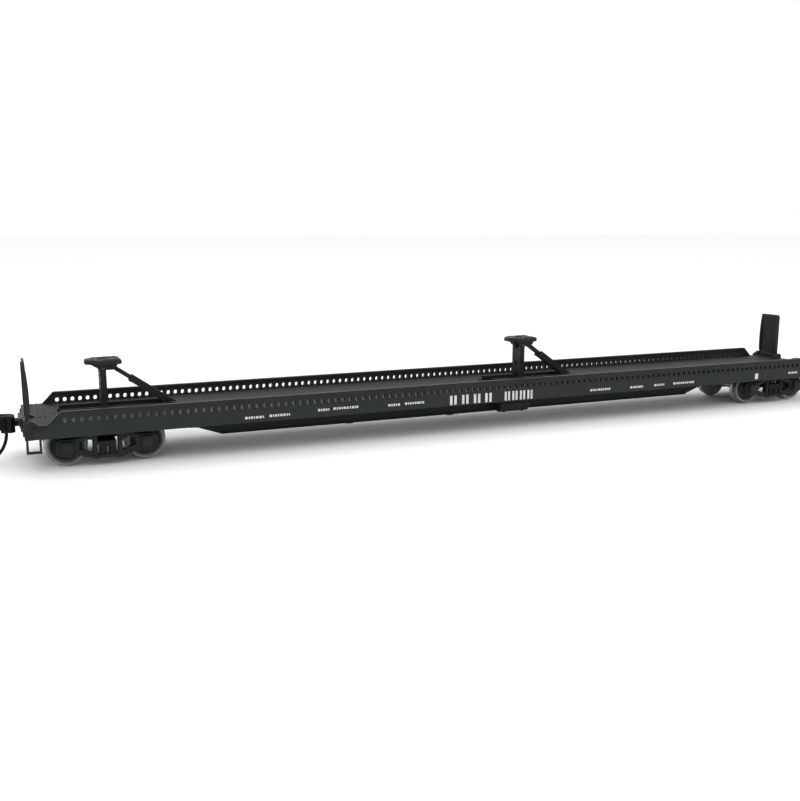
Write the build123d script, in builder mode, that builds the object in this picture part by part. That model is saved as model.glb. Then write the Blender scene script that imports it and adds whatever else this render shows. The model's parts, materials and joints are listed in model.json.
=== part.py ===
"""HO scale piggyback flat car: 75 ft deck, perforated guide rails, two folding trailer hitches, two bridge plates,
magnetic knuckle couplers and two swivelling four-wheel trucks.

The frame has X along the car, Y across it and Z up. Its origin is under the middle of the car, on the level of the
lowest points of the wheel flanges. Everything is in millimetres.
"""

import os
from math import atan2, cos, degrees, hypot, radians, sin

from build123d import *

# ---- Driving dimensions ------------------------------------------------------------------------------------------

# Wheels and trucks
FLANGE_RADIUS = 5.45
TREAD_RADIUS = 4.95
WHEEL_WIDTH = 2.8
BACK_TO_BACK = 14.5
WHEELBASE = 19.8
TRUCK_FROM_MIDDLE = 111.6
AXLE_RADIUS = 1.0
JOURNAL_RADIUS = 0.6
JOURNAL_FIT = 0.06
FRAME_INNER = 10.85
FRAME_OUTER = 12.3

# Body
BODY_LENGTH = 262.5
BODY_WIDTH = 32.0
DECK_TOP = 12.4
DECK_THICKNESS = 0.8
SHEET = 0.7
END_SILL_THICKNESS = 1.0
SILL_BOTTOM = 8.9
SILL_FLANGE = 0.8
GUIDE_HEIGHT = 3.0
GUIDE_THICKNESS = 1.2
GUIDE_FOOT = 125.4
GUIDE_SHOULDER = 122.6
HOLE_PITCH = 2.03
HOLE_COUNT = 121
HOLE_WIDTH = 1.0
HOLE_HEIGHT = 1.22
HOLE_CORNER = 0.45
HOLE_RISE = 0.9

# Centre sill
BELLY_BOTTOM = 3.8
BELLY_HALF_LENGTH = 80.4
TAPER_END = 97.0
SHALLOW_BOTTOM = 9.6
CENTRE_SILL_WIDTH = 6.4
CENTRE_SILL_WALL = 0.5

# Couplers
COUPLER_HEIGHT = 10.55
COUPLER_PIVOT_INSET = 7.6
BOX_LENGTH = 12.4
BOX_BACK_WALL = 2.6
BOX_WIDTH = 6.4
SHANK_THICKNESS = 1.4

# Trailer hitches
HITCH_X = (-110.8, 16.2)
POST_PIVOT_HEIGHT = 0.9
POST_LENGTH = 10.7
HEAD_LENGTH = 9.2
HEAD_WIDTH = 8.2
HEAD_SHIFT = 0.2
HEAD_THICKNESS = 1.2
STRUT_PIVOT = (2.3, 0.2)
FOOT_FROM_POST = 17.8
FOOT_DROP = 0.1
SLEEVE_LENGTH = 13.0
ROD_LENGTH = 16.8
ROD_THICKNESS = 1.1

# Bridge plates
PLATE_HEIGHT = 14.95
PLATE_INNER_EDGE = 6.4
PLATE_OUTER_EDGE = 14.8
PLATE_THICKNESS = 0.6
HINGE_INSET = 0.6
HINGE_HEIGHT = 0.9

# Pins
PIN_FIT = 0.05

# ---- Worked out from them ----------------------------------------------------------------------------------------

HALF_LENGTH = BODY_LENGTH / 2
HALF_WIDTH = BODY_WIDTH / 2
DECK_BOTTOM = DECK_TOP - DECK_THICKNESS
WEB_INNER = HALF_WIDTH - SHEET
SIDE_HALF_LENGTH = HALF_LENGTH - END_SILL_THICKNESS
GUIDE_TOP = DECK_TOP + GUIDE_HEIGHT
ENDS = (-1, 1)
SIDES = (-1, 1)


def end_frame(end, distance):
    """A frame on the running line, distance from the middle of the car, with its x axis pointing out of that end."""
    return Plane(origin=(end * distance, 0, 0), x_dir=(end, 0, 0), z_dir=(0, 0, 1))


def side_view(frame, across=0.0):
    """The plane of a profile seen from the side of a frame: x along the frame, y straight up."""
    origin = frame.from_local_coords((0, across, 0))
    return Plane(origin=origin, x_dir=frame.x_dir, z_dir=-frame.y_dir)


def end_view(frame, along=0.0):
    """The plane of a profile seen from the end of a frame: x across the frame, y straight up."""
    origin = frame.from_local_coords((along, 0, 0))
    return Plane(origin=origin, x_dir=frame.y_dir, z_dir=frame.x_dir)


def save(part, name):
    """Label a finished piece and write it as parts/name.step."""
    part.label = name
    export_step(part, f"parts/{name}.step")


os.makedirs("parts", exist_ok=True)
CAR = Plane.XY
FROM_SIDE = side_view(CAR)
FROM_END = end_view(CAR)

# ---- Deck --------------------------------------------------------------------------------------------------------

TRAY_BACK = 12.4
TRAY_FRONT = 19.8
TRAY_LENGTH = TRAY_BACK + TRAY_FRONT
TRAY_WALL_INNER = 3.2
TRAY_WALL_OUTER = 3.65

with BuildPart() as deck:
    with BuildSketch(Plane.XY.offset(DECK_BOTTOM)):
        Rectangle(2 * SIDE_HALF_LENGTH, 2 * WEB_INNER)
        for hitch_x in HITCH_X:
            with Locations((hitch_x + (TRAY_FRONT - TRAY_BACK) / 2, 0)):
                Rectangle(TRAY_LENGTH, 2 * TRAY_WALL_OUTER, mode=Mode.SUBTRACT)
    extrude(amount=DECK_THICKNESS)
save(deck.part, "deck")

# ---- Side sills and guide rails ----------------------------------------------------------------------------------

BEAD_HEIGHT = 0.4
BEAD_DEPTH = 0.25
FLANGE_THICKNESS = 0.4


def side_sill(side):
    """The channel along one side: an upright web with a narrow flange turned in at its foot."""
    with BuildPart() as sill:
        with BuildSketch(FROM_END):
            with BuildLine():
                Polyline(
                    (side * HALF_WIDTH, DECK_TOP),
                    (side * HALF_WIDTH, SILL_BOTTOM),
                    (side * (WEB_INNER - SILL_FLANGE), SILL_BOTTOM),
                    (side * (WEB_INNER - SILL_FLANGE), SILL_BOTTOM + FLANGE_THICKNESS),
                    (side * WEB_INNER, SILL_BOTTOM + FLANGE_THICKNESS),
                    (side * WEB_INNER, DECK_TOP),
                    close=True,
                )
            make_face()
        extrude(amount=SIDE_HALF_LENGTH, both=True)
    return sill.part


def guide_rail(side):
    """The perforated rail that keeps trailer wheels on the deck, with a bead along its top."""
    web_middle = side * (HALF_WIDTH - GUIDE_THICKNESS / 2)
    bead_middle = side * (HALF_WIDTH - GUIDE_THICKNESS - BEAD_DEPTH / 2)
    with BuildPart() as rail:
        with BuildSketch(side_view(CAR, web_middle + GUIDE_THICKNESS / 2)):
            with BuildLine():
                Polyline(
                    (-GUIDE_FOOT, DECK_TOP),
                    (GUIDE_FOOT, DECK_TOP),
                    (GUIDE_SHOULDER, GUIDE_TOP),
                    (-GUIDE_SHOULDER, GUIDE_TOP),
                    close=True,
                )
            make_face()
            with Locations((0, DECK_TOP + HOLE_RISE)):
                with GridLocations(HOLE_PITCH, 0, HOLE_COUNT, 1):
                    RectangleRounded(HOLE_WIDTH, HOLE_HEIGHT, HOLE_CORNER, mode=Mode.SUBTRACT)
        extrude(amount=GUIDE_THICKNESS, clean=False)
        with BuildSketch(side_view(CAR, bead_middle + BEAD_DEPTH / 2)):
            with Locations((0, GUIDE_TOP - BEAD_HEIGHT / 2)):
                Rectangle(2 * GUIDE_SHOULDER, BEAD_HEIGHT)
        extrude(amount=BEAD_DEPTH, clean=False)
    return rail.part


for number, side in enumerate(SIDES, start=1):
    save(side_sill(side), f"side_sill_{number}")
    save(guide_rail(side), f"guide_rail_{number}")

# ---- End sills ---------------------------------------------------------------------------------------------------

END_SILL_BOTTOM = 8.2
STRIKER_REACH = 1.1
STRIKER_HALF_WIDTH = 4.6
BOX_BOTTOM = 9.2


def end_sill(end):
    """The plate across one end of the car, with the coupler opening and its raised striker."""
    frame = end_frame(end, HALF_LENGTH)
    with BuildPart() as sill:
        with BuildSketch(end_view(frame, -END_SILL_THICKNESS)):
            with BuildLine():
                Polyline(
                    (-HALF_WIDTH, DECK_TOP),
                    (-HALF_WIDTH, SILL_BOTTOM),
                    (-HALF_WIDTH + 1.2, SILL_BOTTOM),
                    (-HALF_WIDTH + 4, END_SILL_BOTTOM),
                    (HALF_WIDTH - 4, END_SILL_BOTTOM),
                    (HALF_WIDTH - 1.2, SILL_BOTTOM),
                    (HALF_WIDTH, SILL_BOTTOM),
                    (HALF_WIDTH, DECK_TOP),
                    close=True,
                )
            make_face()
        extrude(amount=END_SILL_THICKNESS)
        with BuildSketch(side_view(frame)):
            with BuildLine():
                Polyline(
                    (-0.2, DECK_TOP),
                    (STRIKER_REACH - 0.3, DECK_TOP),
                    (STRIKER_REACH, DECK_TOP - 0.3),
                    (STRIKER_REACH, DECK_TOP - 1.6),
                    (0.25, END_SILL_BOTTOM + 0.3),
                    (-0.2, END_SILL_BOTTOM + 0.3),
                    close=True,
                )
            make_face()
        extrude(amount=STRIKER_HALF_WIDTH, both=True)
        with BuildSketch(end_view(frame, -END_SILL_THICKNESS)):
            with Locations((0, (BOX_BOTTOM + DECK_BOTTOM) / 2)):
                Rectangle(BOX_WIDTH + 0.02, DECK_BOTTOM - BOX_BOTTOM)
            with Locations((0, END_SILL_BOTTOM)):
                Rectangle(BOX_WIDTH + 0.02, 2 * (BOX_BOTTOM - END_SILL_BOTTOM))
        extrude(amount=END_SILL_THICKNESS + STRIKER_REACH, mode=Mode.SUBTRACT)
    return sill.part


for number, end in enumerate(ENDS, start=1):
    save(end_sill(end), f"end_sill_{number}")

# ---- Underframe --------------------------------------------------------------------------------------------------

KINGPIN_RADIUS = 1.1
CENTRE_HALF = CENTRE_SILL_WIDTH / 2
BOX_BACK = HALF_LENGTH - BOX_LENGTH

with BuildPart() as centre_sill:
    with BuildSketch(FROM_SIDE):
        with BuildLine():
            Polyline(
                (-BOX_BACK, DECK_BOTTOM),
                (-BOX_BACK, SHALLOW_BOTTOM),
                (-TAPER_END, SHALLOW_BOTTOM),
                (-BELLY_HALF_LENGTH, BELLY_BOTTOM),
                (BELLY_HALF_LENGTH, BELLY_BOTTOM),
                (TAPER_END, SHALLOW_BOTTOM),
                (BOX_BACK, SHALLOW_BOTTOM),
                (BOX_BACK, DECK_BOTTOM),
                close=True,
            )
        make_face()
    extrude(amount=CENTRE_HALF, both=True)
    with BuildSketch(FROM_SIDE):
        with BuildLine():
            Polyline(
                (-BOX_BACK + CENTRE_SILL_WALL, DECK_BOTTOM),
                (-BOX_BACK + CENTRE_SILL_WALL, SHALLOW_BOTTOM + CENTRE_SILL_WALL),
                (-TAPER_END, SHALLOW_BOTTOM + CENTRE_SILL_WALL),
                (-BELLY_HALF_LENGTH, BELLY_BOTTOM + CENTRE_SILL_WALL),
                (BELLY_HALF_LENGTH, BELLY_BOTTOM + CENTRE_SILL_WALL),
                (TAPER_END, SHALLOW_BOTTOM + CENTRE_SILL_WALL),
                (BOX_BACK - CENTRE_SILL_WALL, SHALLOW_BOTTOM + CENTRE_SILL_WALL),
                (BOX_BACK - CENTRE_SILL_WALL, DECK_BOTTOM),
                close=True,
            )
        make_face()
    extrude(amount=CENTRE_HALF - CENTRE_SILL_WALL, both=True, mode=Mode.SUBTRACT)
    with BuildSketch(Plane.XY.offset(SHALLOW_BOTTOM)):
        with Locations((-TRUCK_FROM_MIDDLE, 0), (TRUCK_FROM_MIDDLE, 0)):
            Circle(KINGPIN_RADIUS)
    extrude(amount=CENTRE_SILL_WALL, mode=Mode.SUBTRACT)
    for height in (BELLY_BOTTOM, DECK_BOTTOM - 0.4):
        with BuildSketch(Plane.XY.offset(height)):
            with Locations((0, CENTRE_HALF + 0.3), (0, -CENTRE_HALF - 0.3)):
                Rectangle(2 * BELLY_HALF_LENGTH, 0.6)
        extrude(amount=0.4)
save(centre_sill.part, "centre_sill")

WEIGHT_TOP = 10.9
with BuildPart() as steel_weight:
    with BuildSketch(Plane.XY.offset(BELLY_BOTTOM + CENTRE_SILL_WALL)):
        Rectangle(2 * BELLY_HALF_LENGTH - 4, 2 * (CENTRE_HALF - CENTRE_SILL_WALL) - 0.3)
    extrude(amount=WEIGHT_TOP - BELLY_BOTTOM - CENTRE_SILL_WALL)
save(steel_weight.part, "steel_weight")

BEARER_X = (-72.0, -45.0, -22.0, 0.0, 27.0, 48.0, 72.0)
BEARER_THICKNESS = 0.8
FLANGE_LIP = 0.6

with BuildPart() as crossbearers:
    for bearer_x in BEARER_X:
        for side in SIDES:
            with BuildSketch(end_view(CAR, bearer_x)):
                with BuildLine():
                    Polyline(
                        (side * CENTRE_HALF, DECK_BOTTOM - FLANGE_LIP + 0.2),
                        (side * (CENTRE_HALF + FLANGE_LIP), DECK_BOTTOM - FLANGE_LIP + 0.2),
                        (side * (CENTRE_HALF + FLANGE_LIP), DECK_BOTTOM),
                        (side * WEB_INNER, DECK_BOTTOM),
                        (side * WEB_INNER, SILL_BOTTOM + FLANGE_THICKNESS),
                        (side * (WEB_INNER - SILL_FLANGE), SILL_BOTTOM + FLANGE_THICKNESS),
                        (side * CENTRE_HALF, 6.2),
                        close=True,
                    )
                make_face()
            extrude(amount=BEARER_THICKNESS / 2, both=True)
save(crossbearers.part, "crossbearers")

BOLSTER_BOTTOM = 9.2
BOLSTER_HALF_LENGTH = 2.6

with BuildPart() as body_bolsters:
    for end in ENDS:
        with BuildSketch(end_view(CAR, end * TRUCK_FROM_MIDDLE)):
            with BuildLine():
                Polyline(
                    (-WEB_INNER, DECK_BOTTOM),
                    (-WEB_INNER, 10.9),
                    (-6, BOLSTER_BOTTOM),
                    (6, BOLSTER_BOTTOM),
                    (WEB_INNER, 10.9),
                    (WEB_INNER, DECK_BOTTOM),
                    (CENTRE_HALF, DECK_BOTTOM),
                    (CENTRE_HALF, SHALLOW_BOTTOM),
                    (-CENTRE_HALF, SHALLOW_BOTTOM),
                    (-CENTRE_HALF, DECK_BOTTOM),
                    close=True,
                )
            make_face()
        extrude(amount=BOLSTER_HALF_LENGTH, both=True)
    with BuildSketch(Plane.XY.offset(BOLSTER_BOTTOM)):
        with Locations((-TRUCK_FROM_MIDDLE, 0), (TRUCK_FROM_MIDDLE, 0)):
            Circle(KINGPIN_RADIUS)
    extrude(amount=SHALLOW_BOTTOM - BOLSTER_BOTTOM, mode=Mode.SUBTRACT)
save(body_bolsters.part, "body_bolsters")

# ---- Draft gear: coupler boxes, their covers, springs and screws -------------------------------------------------

BOX_TOP_WALL = 0.3
BOX_WALL = 0.5
COVER_TOP = BOX_BOTTOM + 0.4
COUPLER_POST_RADIUS = 1.0
SCREW_RADIUS = 0.55
SCREW_FROM_MIDDLE = BOX_BACK + 1.3

with BuildPart() as draft_gear_boxes:
    for end in ENDS:
        frame = end_frame(end, HALF_LENGTH)
        with BuildSketch(frame.offset(COVER_TOP)):
            with Locations((-BOX_LENGTH / 2, 0)):
                Rectangle(BOX_LENGTH, BOX_WIDTH)
        extrude(amount=DECK_BOTTOM - COVER_TOP)
        with BuildSketch(frame.offset(COVER_TOP)):
            with Locations(((-BOX_LENGTH + BOX_BACK_WALL) / 2, 0)):
                Rectangle(BOX_LENGTH - BOX_BACK_WALL, BOX_WIDTH - 2 * BOX_WALL)
            with Locations((-COUPLER_PIVOT_INSET, 0)):
                Circle(COUPLER_POST_RADIUS, mode=Mode.SUBTRACT)
        extrude(amount=DECK_BOTTOM - BOX_TOP_WALL - COVER_TOP, mode=Mode.SUBTRACT)
    with BuildSketch(Plane.XY.offset(COVER_TOP)):
        with Locations((-SCREW_FROM_MIDDLE, 0), (SCREW_FROM_MIDDLE, 0)):
            Circle(SCREW_RADIUS)
    extrude(amount=1.4, mode=Mode.SUBTRACT)
save(draft_gear_boxes.part, "draft_gear_boxes")

with BuildPart() as draft_gear_covers:
    for end in ENDS:
        with BuildSketch(end_frame(end, HALF_LENGTH).offset(BOX_BOTTOM)):
            with Locations((-BOX_LENGTH / 2, 0)):
                Rectangle(BOX_LENGTH, BOX_WIDTH)
        extrude(amount=COVER_TOP - BOX_BOTTOM)
    with BuildSketch(Plane.XY.offset(BOX_BOTTOM)):
        with Locations((-SCREW_FROM_MIDDLE, 0), (SCREW_FROM_MIDDLE, 0)):
            Circle(SCREW_RADIUS)
    extrude(amount=COVER_TOP - BOX_BOTTOM, mode=Mode.SUBTRACT)
save(draft_gear_covers.part, "draft_gear_covers")


def screw(x, head_bottom, head_height, head_radius, shank_radius, shank_top):
    """A cross-slotted screw pointing up, on the middle line of the car."""
    with BuildPart() as fastener:
        with BuildSketch(Plane.XY.offset(head_bottom)):
            with Locations((x, 0)):
                Circle(head_radius)
        extrude(amount=head_height)
        with BuildSketch(Plane.XY.offset(head_bottom + head_height)):
            with Locations((x, 0)):
                Circle(shank_radius)
        extrude(amount=shank_top - head_bottom - head_height)
        with BuildSketch(Plane.XY.offset(head_bottom)):
            with Locations((x, 0)):
                Rectangle(1.4 * head_radius, 0.3 * head_radius)
                Rectangle(0.3 * head_radius, 1.4 * head_radius)
        extrude(amount=head_height / 2, mode=Mode.SUBTRACT)
    return fastener.part


LEAF_OFFSET = 2.3
with BuildPart() as coupler_springs:
    for end in ENDS:
        frame = end_frame(end, HALF_LENGTH)
        with BuildSketch(frame.offset(COVER_TOP)):
            with Locations((-COUPLER_PIVOT_INSET, 0)):
                Rectangle(3.0, 2 * LEAF_OFFSET + 0.3)
                Circle(COUPLER_POST_RADIUS, mode=Mode.SUBTRACT)
        extrude(amount=0.12)
        with BuildSketch(frame.offset(COVER_TOP)):
            with Locations((-COUPLER_PIVOT_INSET, LEAF_OFFSET + 0.08), (-COUPLER_PIVOT_INSET, -LEAF_OFFSET - 0.08)):
                Rectangle(3.0, 0.14)
        extrude(amount=1.4)
save(coupler_springs.part, "coupler_springs")

# ---- Couplers ----------------------------------------------------------------------------------------------------

SHANK_BOTTOM = COUPLER_HEIGHT - SHANK_THICKNESS / 2
HEAD_BACK = 1.9
HEAD_HEIGHT = 4.3
LUG_HEIGHT = 0.85
KNUCKLE_PIVOT = (4.4, 1.3)
KNUCKLE_PIN_RADIUS = 0.4
TRIP_PIN_INSET = 2.2
TRIP_PIN_KNEE = 8.0
TRIP_PIN_REACH = 3.4
TRIP_PIN_RADIUS = 0.42


def coupler(end):
    """The coupler casting: eye, shank, head with guard arm, and the curved trip pin pressed into the head."""
    frame = end_frame(end, HALF_LENGTH)
    head_bottom = COUPLER_HEIGHT - HEAD_HEIGHT / 2
    with BuildPart() as casting:
        with BuildSketch(frame.offset(SHANK_BOTTOM)):
            with Locations((-COUPLER_PIVOT_INSET, 0)):
                Circle(1.85)
            with Locations(((HEAD_BACK + 0.4 - COUPLER_PIVOT_INSET) / 2, 0)):
                Rectangle(HEAD_BACK + 0.4 + COUPLER_PIVOT_INSET, 1.9)
            with Locations((-COUPLER_PIVOT_INSET, 0)):
                Circle(COUPLER_POST_RADIUS + PIN_FIT, mode=Mode.SUBTRACT)
        extrude(amount=SHANK_THICKNESS)
        with BuildSketch(frame.offset(head_bottom)):
            with BuildLine():
                Polyline(
                    (HEAD_BACK, -1.4),
                    (HEAD_BACK + 1.1, -2.5),
                    (HEAD_BACK + 4.4, -3.1),
                    (HEAD_BACK + 4.9, -2.6),
                    (HEAD_BACK + 2.9, -1.5),
                    (HEAD_BACK + 1.9, -0.4),
                    (HEAD_BACK + 1.9, 2.1),
                    (HEAD_BACK + 0.9, 2.5),
                    (HEAD_BACK, 1.5),
                    close=True,
                )
            make_face()
        extrude(amount=HEAD_HEIGHT)
        chamfer(casting.edges().group_by(Axis.Z)[-1], 0.3)
        for lug_bottom in (head_bottom, head_bottom + HEAD_HEIGHT - LUG_HEIGHT):
            with BuildSketch(frame.offset(lug_bottom)):
                with BuildLine():
                    Polyline(
                        (HEAD_BACK + 1.7, 0.4),
                        (HEAD_BACK + 3.0, 0.4),
                        (HEAD_BACK + 3.5, 1.3),
                        (HEAD_BACK + 2.9, 2.1),
                        (HEAD_BACK + 1.7, 2.1),
                        close=True,
                    )
                make_face()
                with Locations(KNUCKLE_PIVOT):
                    Circle(KNUCKLE_PIN_RADIUS + PIN_FIT, mode=Mode.SUBTRACT)
            extrude(amount=LUG_HEIGHT)
    pin_top = frame.from_local_coords((HEAD_BACK + TRIP_PIN_INSET, -1.4, head_bottom + 0.3))
    pin_knee = frame.from_local_coords((HEAD_BACK + TRIP_PIN_INSET, -1.4, TRIP_PIN_KNEE))
    pin_tip = frame.from_local_coords((HEAD_BACK + TRIP_PIN_INSET + TRIP_PIN_REACH, -1.4, 1.25))
    with BuildPart() as trip_pin:
        with BuildLine():
            drop = Line(pin_top, pin_knee)
            TangentArc(pin_knee, pin_tip, tangent=drop % 1)
        with BuildSketch(Plane(origin=pin_top, z_dir=(0, 0, -1))):
            Circle(TRIP_PIN_RADIUS)
        sweep()
    with BuildPart() as whole:
        add(casting.part)
        add(trip_pin.part)
    return whole.part


def knuckle(end):
    """The hooked knuckle and the pin it turns on."""
    frame = end_frame(end, HALF_LENGTH)
    pivot_x, pivot_y = KNUCKLE_PIVOT
    reach = HEAD_HEIGHT - 2 * LUG_HEIGHT - 0.2
    with BuildPart() as hook:
        with BuildSketch(frame.offset(COUPLER_HEIGHT - reach / 2)):
            with BuildLine():
                Polyline(
                    (pivot_x - 0.45, pivot_y - 0.6),
                    (pivot_x + 0.6, pivot_y - 0.45),
                    (pivot_x + 0.9, pivot_y - 1.9),
                    (pivot_x + 1.6, pivot_y - 2.2),
                    (pivot_x + 2.2, pivot_y - 1.5),
                    (pivot_x + 2.1, pivot_y + 0.15),
                    (pivot_x + 1.1, pivot_y + 0.9),
                    (pivot_x - 0.25, pivot_y + 0.75),
                    close=True,
                )
            make_face()
        extrude(amount=reach)
        with BuildSketch(frame.offset(COUPLER_HEIGHT - HEAD_HEIGHT / 2)):
            with Locations(KNUCKLE_PIVOT):
                Circle(KNUCKLE_PIN_RADIUS)
        extrude(amount=HEAD_HEIGHT)
    return hook.part


for number, end in enumerate(ENDS, start=1):
    save(coupler(end), f"coupler_{number}")
    save(knuckle(end), f"knuckle_{number}")

# ---- Trucks ------------------------------------------------------------------------------------------------------

AXLE_OFFSET = WHEELBASE / 2
JOURNAL_TIP = 12.3
TRUCK_BOLSTER_TOP = 9.1
BOLSTER_END_BOTTOM = 5.0
BOLSTER_END_TOP = 6.5
SPRING_OPENING_TOP = 8.0
TRUCK_BOLSTER_HALF = 2.2
SPRING_BOTTOM = 3.1


def side_frame(end, side):
    """One cast side frame with its journal boxes, spring opening and two lightening openings."""
    frame = end_frame(end, TRUCK_FROM_MIDDLE)
    outline = [
        (3.6, 9.0),
        (7.4, 7.7),
        (8.3, 7.5),
        (11.9, 7.5),
        (12.6, 6.9),
        (12.6, 4.1),
        (12.0, 3.5),
        (8.1, 3.5),
        (3.3, 2.1),
    ]
    mirrored = [(-x, z) for x, z in reversed(outline)]
    inner_plane = side_view(frame, side * FRAME_INNER)
    outward = -side
    with BuildPart() as casting:
        with BuildSketch(inner_plane):
            with BuildLine():
                Polyline(*outline, *mirrored, close=True)
            make_face()
            with Locations((0, (SPRING_BOTTOM + SPRING_OPENING_TOP) / 2)):
                Rectangle(5.0, SPRING_OPENING_TOP - SPRING_BOTTOM, mode=Mode.SUBTRACT)
            for hand in SIDES:
                with BuildLine(mode=Mode.PRIVATE) as opening:
                    Polyline(
                        (hand * 3.7, 7.6),
                        (hand * 6.9, 6.6),
                        (hand * 7.1, 4.9),
                        (hand * 3.7, 3.7),
                        close=True,
                    )
                make_face(opening.edges(), mode=Mode.SUBTRACT)
        extrude(amount=outward * (FRAME_OUTER - FRAME_INNER))
        for hand in SIDES:
            with BuildSketch(side_view(frame, side * (FRAME_OUTER - 0.4))):
                with Locations((hand * AXLE_OFFSET, FLANGE_RADIUS)):
                    RectangleRounded(3.4, 3.3, 0.5)
            extrude(amount=outward * 1.0, taper=6)
            with BuildSketch(inner_plane):
                with Locations((hand * AXLE_OFFSET, FLANGE_RADIUS)):
                    Circle(JOURNAL_RADIUS + JOURNAL_FIT)
            extrude(amount=outward * (JOURNAL_TIP + 0.1 - FRAME_INNER), mode=Mode.SUBTRACT)
        with BuildSketch(side_view(frame, side * FRAME_OUTER)):
            with BuildLine():
                Polyline((-3.3, 8.8), (3.3, 8.8), (2.7, 8.1), (-2.7, 8.1), close=True)
            make_face()
            with Locations((0, 2.65)):
                Rectangle(5.2, 0.7)
        extrude(amount=outward * 0.35)
    return casting.part


def truck_bolster(end):
    """The beam across one truck, with the kingpin bore and the ends that sit on the springs."""
    frame = end_frame(end, TRUCK_FROM_MIDDLE)
    half_outline = [
        (3.6, TRUCK_BOLSTER_TOP),
        (4.4, TRUCK_BOLSTER_TOP - 0.5),
        (8.6, BOLSTER_END_TOP),
        (FRAME_OUTER, BOLSTER_END_TOP),
        (FRAME_OUTER, BOLSTER_END_BOTTOM),
        (8.6, BOLSTER_END_BOTTOM),
        (4.0, 6.6),
    ]
    mirrored = [(-y, z) for y, z in reversed(half_outline)]
    with BuildPart() as beam:
        with BuildSketch(end_view(frame)):
            with BuildLine():
                Polyline(*half_outline, *mirrored, close=True)
            make_face()
        extrude(amount=TRUCK_BOLSTER_HALF, both=True)
        with BuildSketch(frame.offset(TRUCK_BOLSTER_TOP)):
            Circle(KINGPIN_RADIUS + 0.1)
        extrude(amount=-4, mode=Mode.SUBTRACT)
    return beam.part


def truck_springs(end):
    """Four coil springs, two in each side frame, as ribbed columns."""
    frame = end_frame(end, TRUCK_FROM_MIDDLE)
    height = BOLSTER_END_BOTTOM - SPRING_BOTTOM
    turns = 4
    pitch = height / turns
    across = (FRAME_INNER + FRAME_OUTER) / 2
    with BuildPart() as columns:
        for hand in SIDES:
            for side in SIDES:
                axis_plane = side_view(frame, side * across)
                with BuildSketch(axis_plane):
                    with Locations((hand * 1.15 + 0.25, (SPRING_BOTTOM + BOLSTER_END_BOTTOM) / 2)):
                        Rectangle(0.5, height)
                    for turn in range(turns):
                        with Locations((hand * 1.15 + 0.55, SPRING_BOTTOM + pitch * (turn + 0.5))):
                            Circle(0.24)
                foot = axis_plane.from_local_coords((hand * 1.15, 0))
                revolve(axis=Axis(foot, (0, 0, 1)))
    return columns.part


def wheelset_frame(number):
    """The frame at the middle of wheelset 1 to 4, counted from the low X end."""
    truck = ENDS[(number - 1) // 2]
    inner_or_outer = -1 if number % 2 else 1
    return Plane(origin=(truck * TRUCK_FROM_MIDDLE + inner_or_outer * AXLE_OFFSET, 0, FLANGE_RADIUS))


def axle(number):
    """A steel axle with thinner journals and pointed tips."""
    frame = wheelset_frame(number)
    outer_face = BACK_TO_BACK / 2 + WHEEL_WIDTH
    half = [
        (0, AXLE_RADIUS),
        (outer_face + 0.2, AXLE_RADIUS),
        (outer_face + 0.2, JOURNAL_RADIUS),
        (11.8, JOURNAL_RADIUS),
        (JOURNAL_TIP, 0.15),
        (JOURNAL_TIP, 0),
    ]
    mirrored = [(-y, r) for y, r in reversed(half[1:])]
    with BuildPart() as shaft:
        with BuildSketch(Plane(origin=frame.origin, x_dir=(0, 1, 0), z_dir=(1, 0, 0))):
            with BuildLine():
                Polyline(*half, *mirrored, close=True)
            make_face()
        revolve(axis=Axis(frame.origin, (0, 1, 0)))
    return shaft.part


def wheel_pair(number):
    """Two flanged wheels, gauge side in, pressed on one axle."""
    frame = wheelset_frame(number)
    back = BACK_TO_BACK / 2
    face = back + WHEEL_WIDTH
    profile = [
        (back, AXLE_RADIUS),
        (back, 2.0),
        (back + 0.7, 2.3),
        (back + 0.7, 3.7),
        (back, 4.0),
        (back, 5.15),
        (back + 0.25, FLANGE_RADIUS),
        (back + 0.5, 5.38),
        (back + 0.85, TREAD_RADIUS + 0.02),
        (face, TREAD_RADIUS - 0.05),
        (face, 4.2),
        (face - 0.9, 3.8),
        (face - 1.25, 2.4),
        (face - 0.35, 1.9),
        (face + 0.1, 1.75),
        (face + 0.1, AXLE_RADIUS),
    ]
    with BuildPart() as wheels:
        for side in SIDES:
            with BuildSketch(Plane(origin=frame.origin, x_dir=(0, 1, 0), z_dir=(1, 0, 0))):
                with BuildLine():
                    Polyline(*[(side * y, r) for y, r in profile], close=True)
                make_face()
            revolve(axis=Axis(frame.origin, (0, 1, 0)))
    return wheels.part


for number, end in enumerate(ENDS, start=1):
    save(truck_bolster(end), f"truck_{number}_bolster")
    save(truck_springs(end), f"truck_{number}_springs")
    for hand, side in enumerate(SIDES, start=1):
        save(side_frame(end, side * end), f"truck_{number}_side_frame_{hand}")

for number in range(1, 5):
    save(axle(number), f"axle_{number}")
    save(wheel_pair(number), f"wheels_{number}")

screws = []
for end in ENDS:
    screws.append(screw(end * TRUCK_FROM_MIDDLE, 5.6, 0.8, 2.1, KINGPIN_RADIUS, 11.0))
    screws.append(screw(end * SCREW_FROM_MIDDLE, BOX_BOTTOM - 0.5, 0.5, 1.0, SCREW_RADIUS, COVER_TOP + 1.4))

with BuildPart() as underframe_screws:
    add(screws)
save(underframe_screws.part, "underframe_screws")

# ---- Trailer hitches ---------------------------------------------------------------------------------------------

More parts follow.
